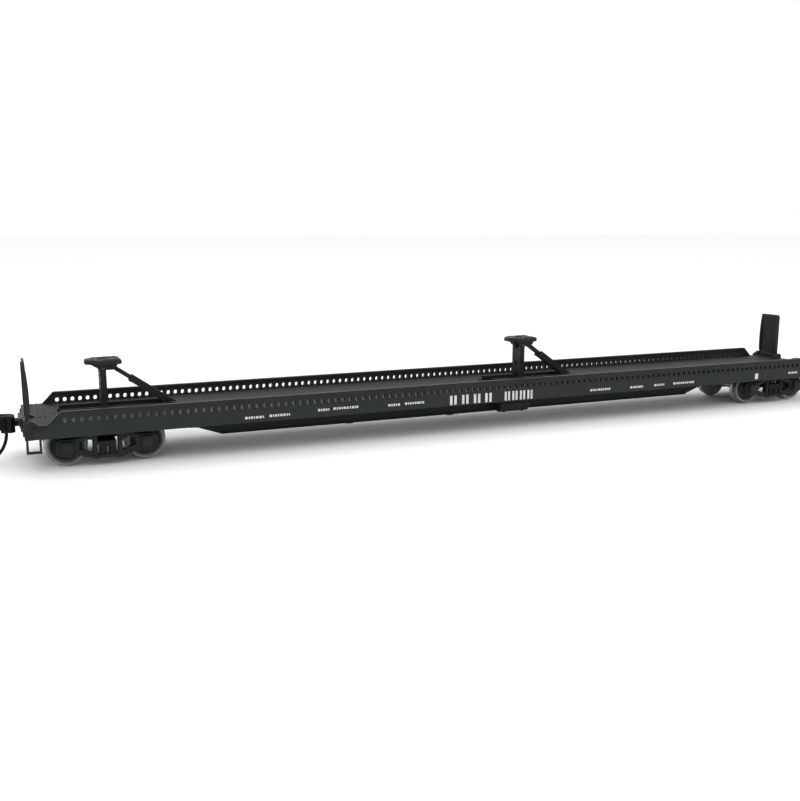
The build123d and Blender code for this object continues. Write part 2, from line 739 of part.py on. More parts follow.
PIVOT_Z = DECK_TOP + POST_PIVOT_HEIGHT
FOOT_Z = PIVOT_Z - FOOT_DROP
HEAD_PIVOT_Z = PIVOT_Z + POST_LENGTH
STRUT_TOP_X = STRUT_PIVOT[0]
STRUT_TOP_Z = HEAD_PIVOT_Z + STRUT_PIVOT[1]
STRUT_RISE = STRUT_TOP_Z - FOOT_Z
STRUT_RUN = STRUT_TOP_X - FOOT_FROM_POST
STRUT_ANGLE = degrees(atan2(STRUT_RISE, STRUT_RUN))
STRUT_SPAN = hypot(STRUT_RISE, STRUT_RUN)
LEG_INNER = 1.25
LEG_OUTER = 2.45
LEG_HALF = 0.8
CHEEK_INNER = 2.55
CHEEK_OUTER = 2.95
HITCH_PIN_RADIUS = 0.45
FOOT_PIN_RADIUS = 0.4
STRUT_PIN_RADIUS = 0.35
TRAY_FLOOR = 0.3
TRAY_HEIGHT = 1.4


def hitch_frame(hitch_x):
    """The frame at the foot of one hitch post."""
    return Plane(origin=(hitch_x, 0, 0))


def hitch_base(hitch_x):
    """The tray let into the deck: floor, two upright walls with bored pin seats, and flanges on the deck."""
    frame = hitch_frame(hitch_x)
    tray_middle = (TRAY_FRONT - TRAY_BACK) / 2
    with BuildPart() as tray:
        with BuildSketch(frame.offset(DECK_BOTTOM)):
            with Locations((tray_middle, 0)):
                Rectangle(TRAY_LENGTH, 2 * TRAY_WALL_OUTER)
        extrude(amount=DECK_TOP + TRAY_HEIGHT - DECK_BOTTOM)
        with BuildSketch(frame.offset(DECK_TOP)):
            with Locations((tray_middle, 0)):
                Rectangle(TRAY_LENGTH - 0.8, 2 * TRAY_WALL_OUTER + 1.6)
        extrude(amount=0.3)
        with BuildSketch(frame.offset(DECK_BOTTOM + TRAY_FLOOR)):
            with Locations((tray_middle, 0)):
                Rectangle(TRAY_LENGTH - 1.0, 2 * TRAY_WALL_INNER)
        extrude(amount=DECK_TOP + TRAY_HEIGHT - DECK_BOTTOM, mode=Mode.SUBTRACT)
        with BuildSketch(frame.offset(DECK_TOP + 0.3)):
            with Locations((-TRAY_BACK, 0), (TRAY_FRONT, 0)):
                Rectangle(2.4, 2 * TRAY_WALL_OUTER)
        extrude(amount=TRAY_HEIGHT, mode=Mode.SUBTRACT)
        with BuildSketch(side_view(frame)):
            with Locations((0, PIVOT_Z)):
                Circle(HITCH_PIN_RADIUS)
            with Locations((FOOT_FROM_POST, FOOT_Z)):
                Circle(FOOT_PIN_RADIUS)
        extrude(amount=HALF_WIDTH, both=True, mode=Mode.SUBTRACT)
    return tray.part


def hitch_post(hitch_x):
    """The upright: two legs joined at the back by a thin plate with an opening, open between them at the top."""
    frame = hitch_frame(hitch_x)
    with BuildPart() as post:
        for side in SIDES:
            with BuildSketch(side_view(frame, side * (LEG_INNER + LEG_OUTER) / 2)):
                with Locations((0, PIVOT_Z + POST_LENGTH / 2)):
                    SlotCenterToCenter(POST_LENGTH, 2 * LEG_HALF, rotation=90)
                with Locations((0, PIVOT_Z), (0, HEAD_PIVOT_Z)):
                    Circle(HITCH_PIN_RADIUS + PIN_FIT, mode=Mode.SUBTRACT)
            extrude(amount=(LEG_OUTER - LEG_INNER) / 2, both=True)
        with BuildSketch(end_view(frame, -LEG_HALF)):
            with Locations((0, PIVOT_Z + POST_LENGTH / 2)):
                Rectangle(2 * LEG_INNER + 0.4, POST_LENGTH - 2.8)
            with Locations((0, PIVOT_Z + 4.5)):
                RectangleRounded(1.6, 1.5, 0.5, mode=Mode.SUBTRACT)
        extrude(amount=0.25)
    return post.part


def hitch_head(hitch_x):
    """The head plate with its kingpin opening, and the web below it that carries the two pivots."""
    frame = hitch_frame(hitch_x)
    plate_bottom = HEAD_PIVOT_Z + 0.95
    front = HEAD_SHIFT + HEAD_LENGTH / 2
    back = HEAD_SHIFT - HEAD_LENGTH / 2
    half_width = HEAD_WIDTH / 2
    with BuildPart() as head:
        with BuildSketch(frame.offset(plate_bottom)):
            with BuildLine():
                Polyline(
                    (front, -half_width + 1.0),
                    (front, half_width - 1.0),
                    (front - 1.0, half_width),
                    (back + 2.6, half_width),
                    (back, 1.6),
                    (back, -1.6),
                    (back + 2.6, -half_width),
                    (front - 1.0, -half_width),
                    close=True,
                )
            make_face()
        extrude(amount=HEAD_THICKNESS)
        chamfer(head.faces().sort_by(Axis.Z)[-1].edges(), 0.3)
        with BuildSketch(side_view(frame)):
            with BuildLine():
                Polyline(
                    (-3.3, plate_bottom),
                    (3.3, plate_bottom),
                    (3.3, HEAD_PIVOT_Z - 0.42),
                    (1.0, HEAD_PIVOT_Z - 0.42),
                    (0.6, HEAD_PIVOT_Z - 0.85),
                    (-0.7, HEAD_PIVOT_Z - 0.85),
                    (-1.4, HEAD_PIVOT_Z - 0.2),
                    close=True,
                )
            make_face()
        extrude(amount=1.1, both=True)
        for side in SIDES:
            with BuildSketch(side_view(frame, side * (CHEEK_INNER + CHEEK_OUTER) / 2)):
                with BuildLine():
                    Polyline(
                        (-2.2, plate_bottom),
                        (3.9, plate_bottom),
                        (2.9, HEAD_PIVOT_Z - 0.6),
                        (-0.8, HEAD_PIVOT_Z - 0.6),
                        close=True,
                    )
                make_face()
            extrude(amount=(CHEEK_OUTER - CHEEK_INNER) / 2, both=True)
        with BuildSketch(side_view(frame)):
            with Locations((STRUT_TOP_X + 0.35, plate_bottom - 1.0)):
                Rectangle(2.4, 2.0)
        extrude(amount=0.55, both=True, mode=Mode.SUBTRACT)
        with BuildSketch(side_view(frame)):
            with Locations((0, HEAD_PIVOT_Z)):
                Circle(HITCH_PIN_RADIUS)
        extrude(amount=CHEEK_OUTER, both=True, mode=Mode.SUBTRACT)
        with BuildSketch(side_view(frame)):
            with Locations((STRUT_TOP_X, STRUT_TOP_Z)):
                Circle(STRUT_PIN_RADIUS)
        extrude(amount=1.1, both=True, mode=Mode.SUBTRACT)
        with BuildSketch(frame.offset(plate_bottom + 0.6)):
            Circle(0.9)
        extrude(amount=HEAD_THICKNESS, mode=Mode.SUBTRACT)
    return head.part


def strut_axis_frame(hitch_x):
    """The side view of the strut: x from the foot pivot towards the head pivot."""
    angle = radians(STRUT_ANGLE)
    return Plane(
        origin=(hitch_x + FOOT_FROM_POST, 0, FOOT_Z),
        x_dir=(cos(angle), 0, sin(angle)),
        z_dir=(0, -1, 0),
    )


def strut_rod(hitch_x):
    """The upper half of the telescoping strut, hung from the head by a narrow eye."""
    plane = strut_axis_frame(hitch_x)
    with BuildPart() as rod:
        with BuildSketch(plane):
            with Locations((STRUT_SPAN - 0.9, 0)):
                Rectangle(1.8, ROD_THICKNESS)
            with Locations((STRUT_SPAN, 0)):
                Circle(0.65)
        extrude(amount=0.45, both=True)
        with BuildSketch(plane):
            with Locations((STRUT_SPAN - (1.6 + ROD_LENGTH) / 2, 0)):
                Rectangle(ROD_LENGTH - 1.6, ROD_THICKNESS)
        extrude(amount=0.85, both=True)
        with BuildSketch(plane):
            with Locations((STRUT_SPAN, 0)):
                Circle(STRUT_PIN_RADIUS + PIN_FIT)
        extrude(amount=0.85, both=True, mode=Mode.SUBTRACT)
    return rod.part


def strut_sleeve(hitch_x):
    """The lower half of the strut: an open channel that the rod slides in, hinged at the foot."""
    plane = strut_axis_frame(hitch_x)
    top_side = -0.85
    floor_side = ROD_THICKNESS / 2 + 0.1
    bottom_side = floor_side + 0.3
    with BuildPart() as sleeve:
        with BuildSketch(plane):
            with BuildLine():
                Polyline(
                    (0, bottom_side),
                    (SLEEVE_LENGTH, bottom_side),
                    (SLEEVE_LENGTH, top_side),
                    (0, top_side),
                    close=True,
                )
            make_face()
            Circle(0.95)
        extrude(amount=1.45, both=True)
        with BuildSketch(plane):
            with Locations((SLEEVE_LENGTH / 2, floor_side - 2)):
                Rectangle(SLEEVE_LENGTH + 4, 4)
        extrude(amount=1.05, both=True, mode=Mode.SUBTRACT)
        with BuildSketch(plane):
            Circle(FOOT_PIN_RADIUS + PIN_FIT)
        extrude(amount=1.45, both=True, mode=Mode.SUBTRACT)
    return sleeve.part


def hitch_head_pins(hitch_x):
    """The two pins fixed in the head: one in the post's legs, one in the strut's eye."""
    frame = hitch_frame(hitch_x)
    with BuildPart() as pins:
        with BuildSketch(side_view(frame)):
            with Locations((0, HEAD_PIVOT_Z)):
                Circle(HITCH_PIN_RADIUS)
        extrude(amount=CHEEK_OUTER, both=True)
        with BuildSketch(side_view(frame)):
            with Locations((STRUT_TOP_X, STRUT_TOP_Z)):
                Circle(STRUT_PIN_RADIUS)
        extrude(amount=1.1, both=True)
    return pins.part


for number, hitch_x in enumerate(HITCH_X, start=1):
    save(hitch_base(hitch_x), f"hitch_{number}_base")
    save(hitch_post(hitch_x), f"hitch_{number}_post")
    save(hitch_head(hitch_x), f"hitch_{number}_head")
    save(strut_rod(hitch_x), f"hitch_{number}_strut_rod")
    save(strut_sleeve(hitch_x), f"hitch_{number}_strut_sleeve")
    save(hitch_head_pins(hitch_x), f"hitch_{number}_head_pins")

# ---- Bridge plates -----------------------------------------------------------------------------------------------

HINGE_Z = DECK_TOP + HINGE_HEIGHT
HINGE_PIN_RADIUS = 0.3
KNUCKLE_RADIUS = 0.75
PLATE_FACE = 0.15
CURB_THICKNESS = 0.6
CURB_DEPTH = 0.55


def bridge_plate(end):
    """The plate that trailers drive over, standing up at one corner, with a curb along each edge."""
    frame = end_frame(end, HALF_LENGTH - HINGE_INSET)
    top = HINGE_Z + PLATE_HEIGHT
    plate_middle = (PLATE_INNER_EDGE + PLATE_OUTER_EDGE) / 2
    width = PLATE_OUTER_EDGE - PLATE_INNER_EDGE
    back = PLATE_FACE - PLATE_THICKNESS
    with BuildPart() as plate:
        with BuildSketch(end_view(frame, back)):
            with BuildLine():
                Polyline(
                    (PLATE_INNER_EDGE, HINGE_Z),
                    (PLATE_OUTER_EDGE, HINGE_Z),
                    (PLATE_OUTER_EDGE, top - 0.5),
                    (PLATE_OUTER_EDGE - 0.5, top),
                    (PLATE_INNER_EDGE + 0.5, top),
                    (PLATE_INNER_EDGE, top - 0.5),
                    close=True,
                )
            make_face()
        extrude(amount=PLATE_THICKNESS)
        with BuildSketch(side_view(frame, plate_middle)):
            with Locations((0, HINGE_Z)):
                Circle(KNUCKLE_RADIUS)
        extrude(amount=width / 2, both=True)
        for edge in (PLATE_INNER_EDGE + CURB_THICKNESS / 2, PLATE_OUTER_EDGE - CURB_THICKNESS / 2):
            with BuildSketch(side_view(frame, edge)):
                with BuildLine():
                    foot = (back + 0.05, HINGE_Z + 0.85)
                    heel = (back - 0.4, HINGE_Z + 1.2)
                    tip = (back + 0.05, top - 0.6)
                    ThreePointArc(heel, (back - CURB_DEPTH, HINGE_Z + 0.42 * PLATE_HEIGHT), tip)
                    Polyline(tip, foot, heel)
                make_face()
            extrude(amount=CURB_THICKNESS / 2, both=True)
        with BuildSketch(side_view(frame, plate_middle)):
            with Locations((0, HINGE_Z)):
                Circle(HINGE_PIN_RADIUS + PIN_FIT)
        extrude(amount=width, both=True, mode=Mode.SUBTRACT)
    return plate.part


LUG_INNER = 4.9
LUG_OUTER = 16.2
LUG_GAP = 0.12
STRAP_LENGTH = 1.7

with BuildPart() as bridge_plate_hinges:
    for end in ENDS:
        frame = end_frame(end, HALF_LENGTH - HINGE_INSET)
        inner_lug = (LUG_INNER, PLATE_INNER_EDGE - LUG_GAP)
        outer_lug = (PLATE_OUTER_EDGE + LUG_GAP, LUG_OUTER)
        for low, high in (inner_lug, outer_lug):
            with BuildSketch(side_view(frame, (low + high) / 2)):
                with BuildLine():
                    Polyline(
                        (-2.4, DECK_TOP),
                        (HINGE_INSET, DECK_TOP),
                        (HINGE_INSET, DECK_TOP + 0.6),
                        (0.4, HINGE_Z + 0.7),
                        (-0.4, HINGE_Z + 0.7),
                        (-2.4, DECK_TOP + 0.5),
                        close=True,
                    )
                make_face()
                with Locations((0, HINGE_Z)):
                    Circle(HINGE_PIN_RADIUS, mode=Mode.SUBTRACT)
            extrude(amount=(high - low) / 2, both=True)
        with BuildSketch(frame.offset(DECK_TOP)):
            with Locations((-1.6, (inner_lug[0] + outer_lug[1]) / 2)):
                Rectangle(1.6, outer_lug[1] - inner_lug[0])
        extrude(amount=0.45)
        with BuildSketch(frame.offset(SILL_BOTTOM)):
            with Locations((HINGE_INSET - STRAP_LENGTH / 2, (HALF_WIDTH + LUG_OUTER) / 2)):
                Rectangle(STRAP_LENGTH, LUG_OUTER - HALF_WIDTH)
        extrude(amount=DECK_TOP - SILL_BOTTOM)
save(bridge_plate_hinges.part, "bridge_plate_hinges")

with BuildPart() as hinge_pins:
    for hitch_x in HITCH_X:
        frame = hitch_frame(hitch_x)
        for side in SIDES:
            with BuildSketch(side_view(frame, side * LEG_INNER)):
                with Locations((0, PIVOT_Z)):
                    Circle(HITCH_PIN_RADIUS)
            extrude(amount=-side * (TRAY_WALL_OUTER + 0.15 - LEG_INNER))
        with BuildSketch(side_view(frame)):
            with Locations((FOOT_FROM_POST, FOOT_Z)):
                Circle(FOOT_PIN_RADIUS)
        extrude(amount=TRAY_WALL_OUTER + 0.15, both=True)
    for end in ENDS:
        with BuildSketch(side_view(end_frame(end, HALF_LENGTH - HINGE_INSET), LUG_INNER - 0.1)):
            with Locations((0, HINGE_Z)):
                Circle(HINGE_PIN_RADIUS)
        extrude(amount=-(LUG_OUTER - LUG_INNER + 0.2))
save(hinge_pins.part, "hinge_pins")

for number, end in enumerate(ENDS, start=1):
    save(bridge_plate(end), f"bridge_plate_{number}")

# ---- Brake gear --------------------------------------------------------------------------------------------------


def tank(middle_x, middle_y, middle_z, length, radius, hangers):
    """A closed air tank lying along the car, hung from the deck by two straps."""
    across_plane = Plane(origin=(middle_x, middle_y, middle_z), x_dir=(0, 1, 0), z_dir=(1, 0, 0))
    with BuildPart() as body:
        with BuildSketch(across_plane):
            Circle(radius)
        extrude(amount=length / 2, both=True)
        fillet(body.edges().filter_by(GeomType.CIRCLE), radius * 0.25)
        for hanger_x in hangers:
            with BuildSketch(Plane.XY.offset(middle_z)):
                with Locations((middle_x + hanger_x, middle_y)):
                    Rectangle(0.8, 1.6)
            extrude(amount=DECK_BOTTOM - middle_z)
    return body.part


save(tank(9.6, -8.0, 6.7, 10.4, 2.5, (-3.2, 3.2)), "air_reservoir")

cylinder_barrel = tank(-12.0, 8.2, 7.6, 6.4, 2.1, (-2.0, 2.0))
with BuildPart() as brake_cylinder:
    add(cylinder_barrel)
    with BuildSketch(Plane(origin=(-12.0 - 3.2, 8.2, 7.6), x_dir=(0, 1, 0), z_dir=(1, 0, 0))):
        Circle(0.7)
    extrude(amount=-2.4)
    with BuildSketch(Plane(origin=(-12.0 - 5.6, 8.2, 7.6), x_dir=(0, 1, 0), z_dir=(1, 0, 0))):
        Circle(0.3)
    extrude(amount=-3.0)
save(brake_cylinder.part, "brake_cylinder")

with BuildPart() as control_valve:
    with BuildSketch(Plane.XY.offset(6.4)):
        with Locations((5.2, 7.6)):
            RectangleRounded(3.6, 2.8, 0.5)
    extrude(amount=3.2)
    with BuildSketch(Plane.XY.offset(9.6)):
        with Locations((5.2, 7.6)):
            Rectangle(1.6, 1.2)
    extrude(amount=DECK_BOTTOM - 9.6)
    with BuildSketch(Plane(origin=(5.2, 7.6, 8.0), x_dir=(0, 1, 0), z_dir=(1, 0, 0))):
        Circle(1.0)
    extrude(amount=2.8, both=True)
save(control_valve.part, "control_valve")

PIPE_Y = 4.6
PIPE_Z = 5.3
PIPE_RADIUS = 0.35
with BuildPart() as brake_pipes:
    with BuildSketch(Plane(origin=(-76, PIPE_Y, PIPE_Z), x_dir=(0, 1, 0), z_dir=(1, 0, 0))):
        Circle(PIPE_RADIUS)
    extrude(amount=152)
    with BuildSketch(Plane(origin=(5.2, PIPE_Y, PIPE_Z))):
        Circle(PIPE_RADIUS)
    extrude(amount=2.2)
    with BuildSketch(Plane(origin=(5.2, PIPE_Y, PIPE_Z + 1.9), x_dir=(1, 0, 0), z_dir=(0, 1, 0))):
        Circle(PIPE_RADIUS)
    extrude(amount=1.6)
    for strap_x in (-60, -33, 33, 60):
        with BuildSketch(Plane(origin=(strap_x, PIPE_Y, PIPE_Z))):
            Rectangle(0.7, 0.4)
        extrude(amount=DECK_BOTTOM - PIPE_Z)
save(brake_pipes.part, "brake_pipes")

BRAKE_Y = -8.2
BRAKE_Z = 10.9
BRAKE_WHEEL_RADIUS = 2.7
BRAKE_SHAFT_RADIUS = 0.35
BRAKE_END = end_frame(1, HALF_LENGTH)

with BuildPart() as brake_housing:
    with BuildSketch(end_view(BRAKE_END)):
        with Locations((BRAKE_Y, BRAKE_Z - 0.1)):
            RectangleRounded(3.4, 2.6, 0.5)
    extrude(amount=1.1, taper=10)
    with BuildSketch(end_view(BRAKE_END)):
        with Locations((BRAKE_Y, BRAKE_Z)):
            Circle(BRAKE_SHAFT_RADIUS + PIN_FIT)
    extrude(amount=1.2, mode=Mode.SUBTRACT)
save(brake_housing.part, "brake_housing")

with BuildPart() as brake_wheel:
    with BuildSketch(end_view(BRAKE_END, 1.6)):
        with Locations((BRAKE_Y, BRAKE_Z)):
            Circle(BRAKE_WHEEL_RADIUS)
            Circle(BRAKE_WHEEL_RADIUS - 0.4, mode=Mode.SUBTRACT)
            with PolarLocations(0, 5):
                with Locations((BRAKE_WHEEL_RADIUS / 2, 0)):
                    Rectangle(BRAKE_WHEEL_RADIUS - 0.2, 0.35)
            Circle(0.7)
    extrude(amount=0.4)
    with BuildSketch(end_view(BRAKE_END, 0.1)):
        with Locations((BRAKE_Y, BRAKE_Z)):
            Circle(BRAKE_SHAFT_RADIUS)
    extrude(amount=2.2)
save(brake_wheel.part, "brake_wheel")

# ---- Steps, grab irons and uncoupling levers ---------------------------------------------------------------------

STEP_OUTER = 131.1
STEP_INNER = 127.5
STEP_BOTTOM = 5.4
STEP_BAR = 0.55

with BuildPart() as sill_steps:
    for end in ENDS:
        for side in SIDES:
            frame = end_frame(end, 0)
            with BuildSketch(side_view(frame, side * (HALF_WIDTH - 0.4))):
                with Locations(((STEP_OUTER + STEP_INNER) / 2, (STEP_BOTTOM + SILL_BOTTOM) / 2)):
                    Rectangle(STEP_OUTER - STEP_INNER, SILL_BOTTOM - STEP_BOTTOM)
                with Locations(((STEP_OUTER + STEP_INNER) / 2, (STEP_BOTTOM + STEP_BAR + SILL_BOTTOM) / 2)):
                    Rectangle(
                        STEP_OUTER - STEP_INNER - 2 * STEP_BAR,
                        SILL_BOTTOM - STEP_BOTTOM - STEP_BAR,
                        mode=Mode.SUBTRACT,
                    )
            extrude(amount=0.4, both=True)
    clear_edges = Plane.XY.offset(SILL_BOTTOM)
    split(bisect_by=clear_edges, keep=Keep.BOTTOM)
save(sill_steps.part, "sill_steps")

GRAB_Z = 11.8
GRAB_RADIUS = 0.18
GRAB_STANDOFF = 0.6


def grab_iron(start, end, outward):
    """A wire handle from start to end, stood off a face in the outward direction."""
    lift = Vector(*outward) * GRAB_STANDOFF
    along = (Vector(*end) - Vector(*start)).normalized()
    with BuildPart() as iron:
        with BuildLine():
            Polyline(start, Vector(*start) + lift, Vector(*end) + lift, end)
        with BuildSketch(Plane(origin=start, x_dir=along, z_dir=outward)):
            Rectangle(2 * GRAB_RADIUS, 2 * GRAB_RADIUS)
        sweep(transition=Transition.RIGHT)
    return iron.part


irons = []
for end in ENDS:
    for side in SIDES:
        face_y = side * HALF_WIDTH
        irons.append(grab_iron((end * 126.2, face_y, GRAB_Z), (end * 129.1, face_y, GRAB_Z), (0, side, 0)))
    face_x = end * HALF_LENGTH
    low_z = GRAB_Z - 1.0
    irons.append(grab_iron((face_x, end * 8.6, low_z), (face_x, end * 12.6, low_z), (end, 0, 0)))

with BuildPart() as grab_irons:
    add(irons)
save(grab_irons.part, "grab_irons")

LEVER_Z = 8.9
with BuildPart() as uncoupling_levers:
    for end in ENDS:
        frame = end_frame(end, HALF_LENGTH)
        for bracket_y in (-6.0, -13.0):
            with BuildSketch(end_view(frame)):
                with Locations((bracket_y, LEVER_Z)):
                    Rectangle(0.8, 0.8)
            extrude(amount=0.75)
        rod_start = frame.from_local_coords((0.45, -5.0, LEVER_Z))
        with BuildSketch(Plane(origin=rod_start, x_dir=frame.x_dir, z_dir=-frame.y_dir)):
            Rectangle(0.4, 0.4)
        extrude(amount=9.6)
        handle_start = frame.from_local_coords((0.25, -14.4, LEVER_Z))
        with BuildSketch(Plane(origin=handle_start, x_dir=frame.y_dir, z_dir=frame.x_dir)):
            Rectangle(0.4, 0.4)
        extrude(amount=1.9)
        arm_start = frame.from_local_coords((0.25, -5.2, LEVER_Z))
        with BuildSketch(Plane(origin=arm_start, x_dir=frame.y_dir, z_dir=frame.x_dir)):
            Rectangle(0.4, 0.4)
        extrude(amount=1.6)
save(uncoupling_levers.part, "uncoupling_levers")
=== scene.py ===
"""Looks of the HO scale piggyback flat car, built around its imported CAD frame."""

import json
import math

import bmesh
import bpy
from mathutils import Matrix, Vector


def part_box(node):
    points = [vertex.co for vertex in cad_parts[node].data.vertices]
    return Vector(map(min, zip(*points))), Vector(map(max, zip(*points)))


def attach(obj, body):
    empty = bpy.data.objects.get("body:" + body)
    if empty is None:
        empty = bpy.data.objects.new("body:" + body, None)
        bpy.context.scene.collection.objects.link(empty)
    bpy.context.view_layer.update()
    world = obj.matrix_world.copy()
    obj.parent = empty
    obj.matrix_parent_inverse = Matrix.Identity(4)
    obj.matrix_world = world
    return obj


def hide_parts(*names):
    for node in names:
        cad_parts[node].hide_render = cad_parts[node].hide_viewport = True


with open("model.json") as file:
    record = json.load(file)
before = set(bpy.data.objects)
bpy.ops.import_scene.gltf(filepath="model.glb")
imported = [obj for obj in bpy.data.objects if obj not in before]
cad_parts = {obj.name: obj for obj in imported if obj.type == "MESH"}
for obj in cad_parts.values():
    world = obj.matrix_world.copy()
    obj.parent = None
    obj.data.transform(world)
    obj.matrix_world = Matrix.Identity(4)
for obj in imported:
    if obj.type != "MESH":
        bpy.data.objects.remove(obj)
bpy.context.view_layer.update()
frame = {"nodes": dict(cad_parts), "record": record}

MM = 0.001
ENDS = (-1, 1)
SIDES = (-1, 1)


def millimetres(node):
    """The lowest and highest corners of a CAD node, in millimetres."""
    low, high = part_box(node)
    return low / MM, high / MM


def middle(node):
    """The middle of a CAD node's box, in millimetres."""
    low, high = millimetres(node)
    return (low + high) / 2


def spaced(first, last, count):
    """Evenly spaced places from the first to the last."""
    return [first + (last - first) * k / (count - 1) for k in range(count)]


# ---- Places, in millimetres ----------------------------------------------------------------------

sill_low = millimetres("side_sill_1")[0]
rail_high = millimetres("guide_rail_1")[1]

DECK_TOP = millimetres("deck")[1].z
HALF_WIDTH = -sill_low.y
SILL_BOTTOM = sill_low.z
GUIDE_TOP = rail_high.z
GUIDE_FOOT = rail_high.x
HALF_LENGTH = 131.25
TRUCK_X = middle("truck_2_bolster").x
HITCH_X = [middle(f"hitch_{number}_post").x for number in (1, 2)]
TRAY_TOP = millimetres("hitch_1_base")[1].z

# How far trims are let into the face they stand on.
SINK = 0.02

# ---- Materials -----------------------------------------------------------------------------------

FINE_SHARE = 0.35
DARKEST_AT, LIGHTEST_AT = 0.36, 0.66
DUST_FROM, DUST_MOST = 0.35, 0.85


def noise(nodes, links, place, feature, detail):
    """A noise texture on the object, with features of about the given size in millimetres."""
    texture = nodes.new("ShaderNodeTexNoise")
    texture.inputs["Scale"].default_value = 1.0 / (feature * MM)
    texture.inputs["Detail"].default_value = detail
    links.new(place.outputs["Object"], texture.inputs["Vector"])
    return texture


def math_node(nodes, operation):
    """A node for one sum."""
    node = nodes.new("ShaderNodeMath")
    node.operation = operation
    return node


def dusted(nodes, links, colour, patches, dust):
    """The colour with a patchy film of dust on the faces that look up."""
    facing = nodes.new("ShaderNodeNewGeometry")
    parts = nodes.new("ShaderNodeSeparateXYZ")
    links.new(facing.outputs["Normal"], parts.inputs[0])
    amount = nodes.new("ShaderNodeMapRange")
    amount.inputs["From Min"].default_value = DUST_FROM
    amount.inputs["From Max"].default_value = 1.0
    amount.inputs["To Max"].default_value = DUST_MOST
    links.new(parts.outputs["Z"], amount.inputs["Value"])
    broken = math_node(nodes, "MULTIPLY")
    links.new(amount.outputs[0], broken.inputs[0])
    links.new(patches.outputs["Fac"], broken.inputs[1])
    mix = nodes.new("ShaderNodeMix")
    mix.data_type = "RGBA"
    mix.inputs["B"].default_value = (*dust, 1)
    links.new(broken.outputs[0], mix.inputs["Factor"])
    links.new(colour, mix.inputs["A"])
    return mix.outputs["Result"]


def surface(
    name, dark, light,
    patch=6.0, grain=0.35, rough=(0.42, 0.62), metal=0.0, relief=0.02, dust=None, shine=0.2,
):
    """A surface with slow colour patches, fine grain, uneven gloss and, if asked for, dust on top."""
    mat = bpy.data.materials.new(name)
    mat.use_nodes = True
    nodes, links = mat.node_tree.nodes, mat.node_tree.links
    shader = nodes["Principled BSDF"]
    shader.inputs["Metallic"].default_value = metal
    shader.inputs["Specular IOR Level"].default_value = shine
    place = nodes.new("ShaderNodeTexCoord")

    slow = noise(nodes, links, place, patch, 5.0)
    slow.inputs["Roughness"].default_value = 0.6
    fine = noise(nodes, links, place, grain, 3.0)
    spread = math_node(nodes, "MULTIPLY")
    spread.inputs[1].default_value = 1 - FINE_SHARE
    links.new(slow.outputs["Fac"], spread.inputs[0])
    blend = math_node(nodes, "MULTIPLY_ADD")
    blend.inputs[1].default_value = FINE_SHARE
    links.new(fine.outputs["Fac"], blend.inputs[0])
    links.new(spread.outputs[0], blend.inputs[2])

    ramp = nodes.new("ShaderNodeValToRGB")
    for stop, position, colour in zip(ramp.color_ramp.elements, (DARKEST_AT, LIGHTEST_AT), (dark, light)):
        stop.position = position
        stop.color = (*colour, 1)
    links.new(blend.outputs[0], ramp.inputs["Fac"])
    colour = ramp.outputs["Color"]
    if dust:
        colour = dusted(nodes, links, colour, slow, dust)
    links.new(colour, shader.inputs["Base Color"])

    gloss = nodes.new("ShaderNodeMapRange")
    gloss.inputs["From Min"].default_value = 0.3
    gloss.inputs["From Max"].default_value = 0.7
    gloss.inputs["To Min"].default_value = rough[0]
    gloss.inputs["To Max"].default_value = rough[1]
    links.new(blend.outputs[0], gloss.inputs["Value"])
    links.new(gloss.outputs[0], shader.inputs["Roughness"])

    bump = nodes.new("ShaderNodeBump")
    bump.inputs["Strength"].default_value = 0.35
    bump.inputs["Distance"].default_value = relief * MM
    links.new(fine.outputs["Fac"], bump.inputs["Height"])
    links.new(bump.outputs["Normal"], shader.inputs["Normal"])
    return mat


def brushed(name, dark, light, axis, rough=(0.28, 0.45)):
    """Bare turned or rolled metal with fine lines across the given axis and a dull patchy film."""
    mat = surface(name, dark, light, patch=3.0, grain=0.12, rough=rough, metal=1.0, relief=0.006)
    nodes, links = mat.node_tree.nodes, mat.node_tree.links
    stretch = nodes.new("ShaderNodeMapping")
    stretch.inputs["Scale"].default_value = [0.12 if k == axis else 1.0 for k in range(3)]
    place = next(n for n in nodes if n.type == "TEX_COORD")
    links.new(place.outputs["Object"], stretch.inputs["Vector"])
    for texture in [n for n in nodes if n.type == "TEX_NOISE"]:
        links.new(stretch.outputs["Vector"], texture.inputs["Vector"])
    return mat


SIDE_PAINT = surface(
    "side_paint", (0.0105, 0.0145, 0.0130), (0.0175, 0.0225, 0.0205),
    patch=14, grain=0.5, rough=(0.42, 0.58), dust=(0.040, 0.043, 0.041),
)
RAIL_PAINT = surface(
    "rail_paint", (0.0080, 0.0110, 0.0100), (0.0150, 0.0190, 0.0175),
    patch=10, grain=0.4, rough=(0.44, 0.60), dust=(0.045, 0.048, 0.046),
)
DECK_PAINT = surface(
    "deck_paint", (0.0095, 0.0122, 0.0114), (0.0190, 0.0226, 0.0210),
    patch=9, grain=0.6, rough=(0.52, 0.74), relief=0.05, dust=(0.040, 0.044, 0.042),
)
FRAME_PAINT = surface(
    "frame_paint", (0.0075, 0.0102, 0.0095), (0.0150, 0.0190, 0.0176),
    patch=8, grain=0.5, rough=(0.5, 0.68),
)
TRUCK_PLASTIC = surface(
    "truck_plastic", (0.0085, 0.0120, 0.0110), (0.0180, 0.0230, 0.0210),
    patch=5, grain=0.35, rough=(0.48, 0.64), dust=(0.030, 0.032, 0.030),
)
HITCH_PAINT = surface(
    "hitch_paint", (0.0080, 0.0085, 0.0082), (0.0160, 0.0165, 0.0158),
    patch=4, grain=0.3, rough=(0.42, 0.58), dust=(0.022, 0.022, 0.021),
)
PLATE_PAINT = surface(
    "plate_paint", (0.0085, 0.0095, 0.0092), (0.0170, 0.0185, 0.0180),
    patch=5, grain=0.3, rough=(0.44, 0.60),
)
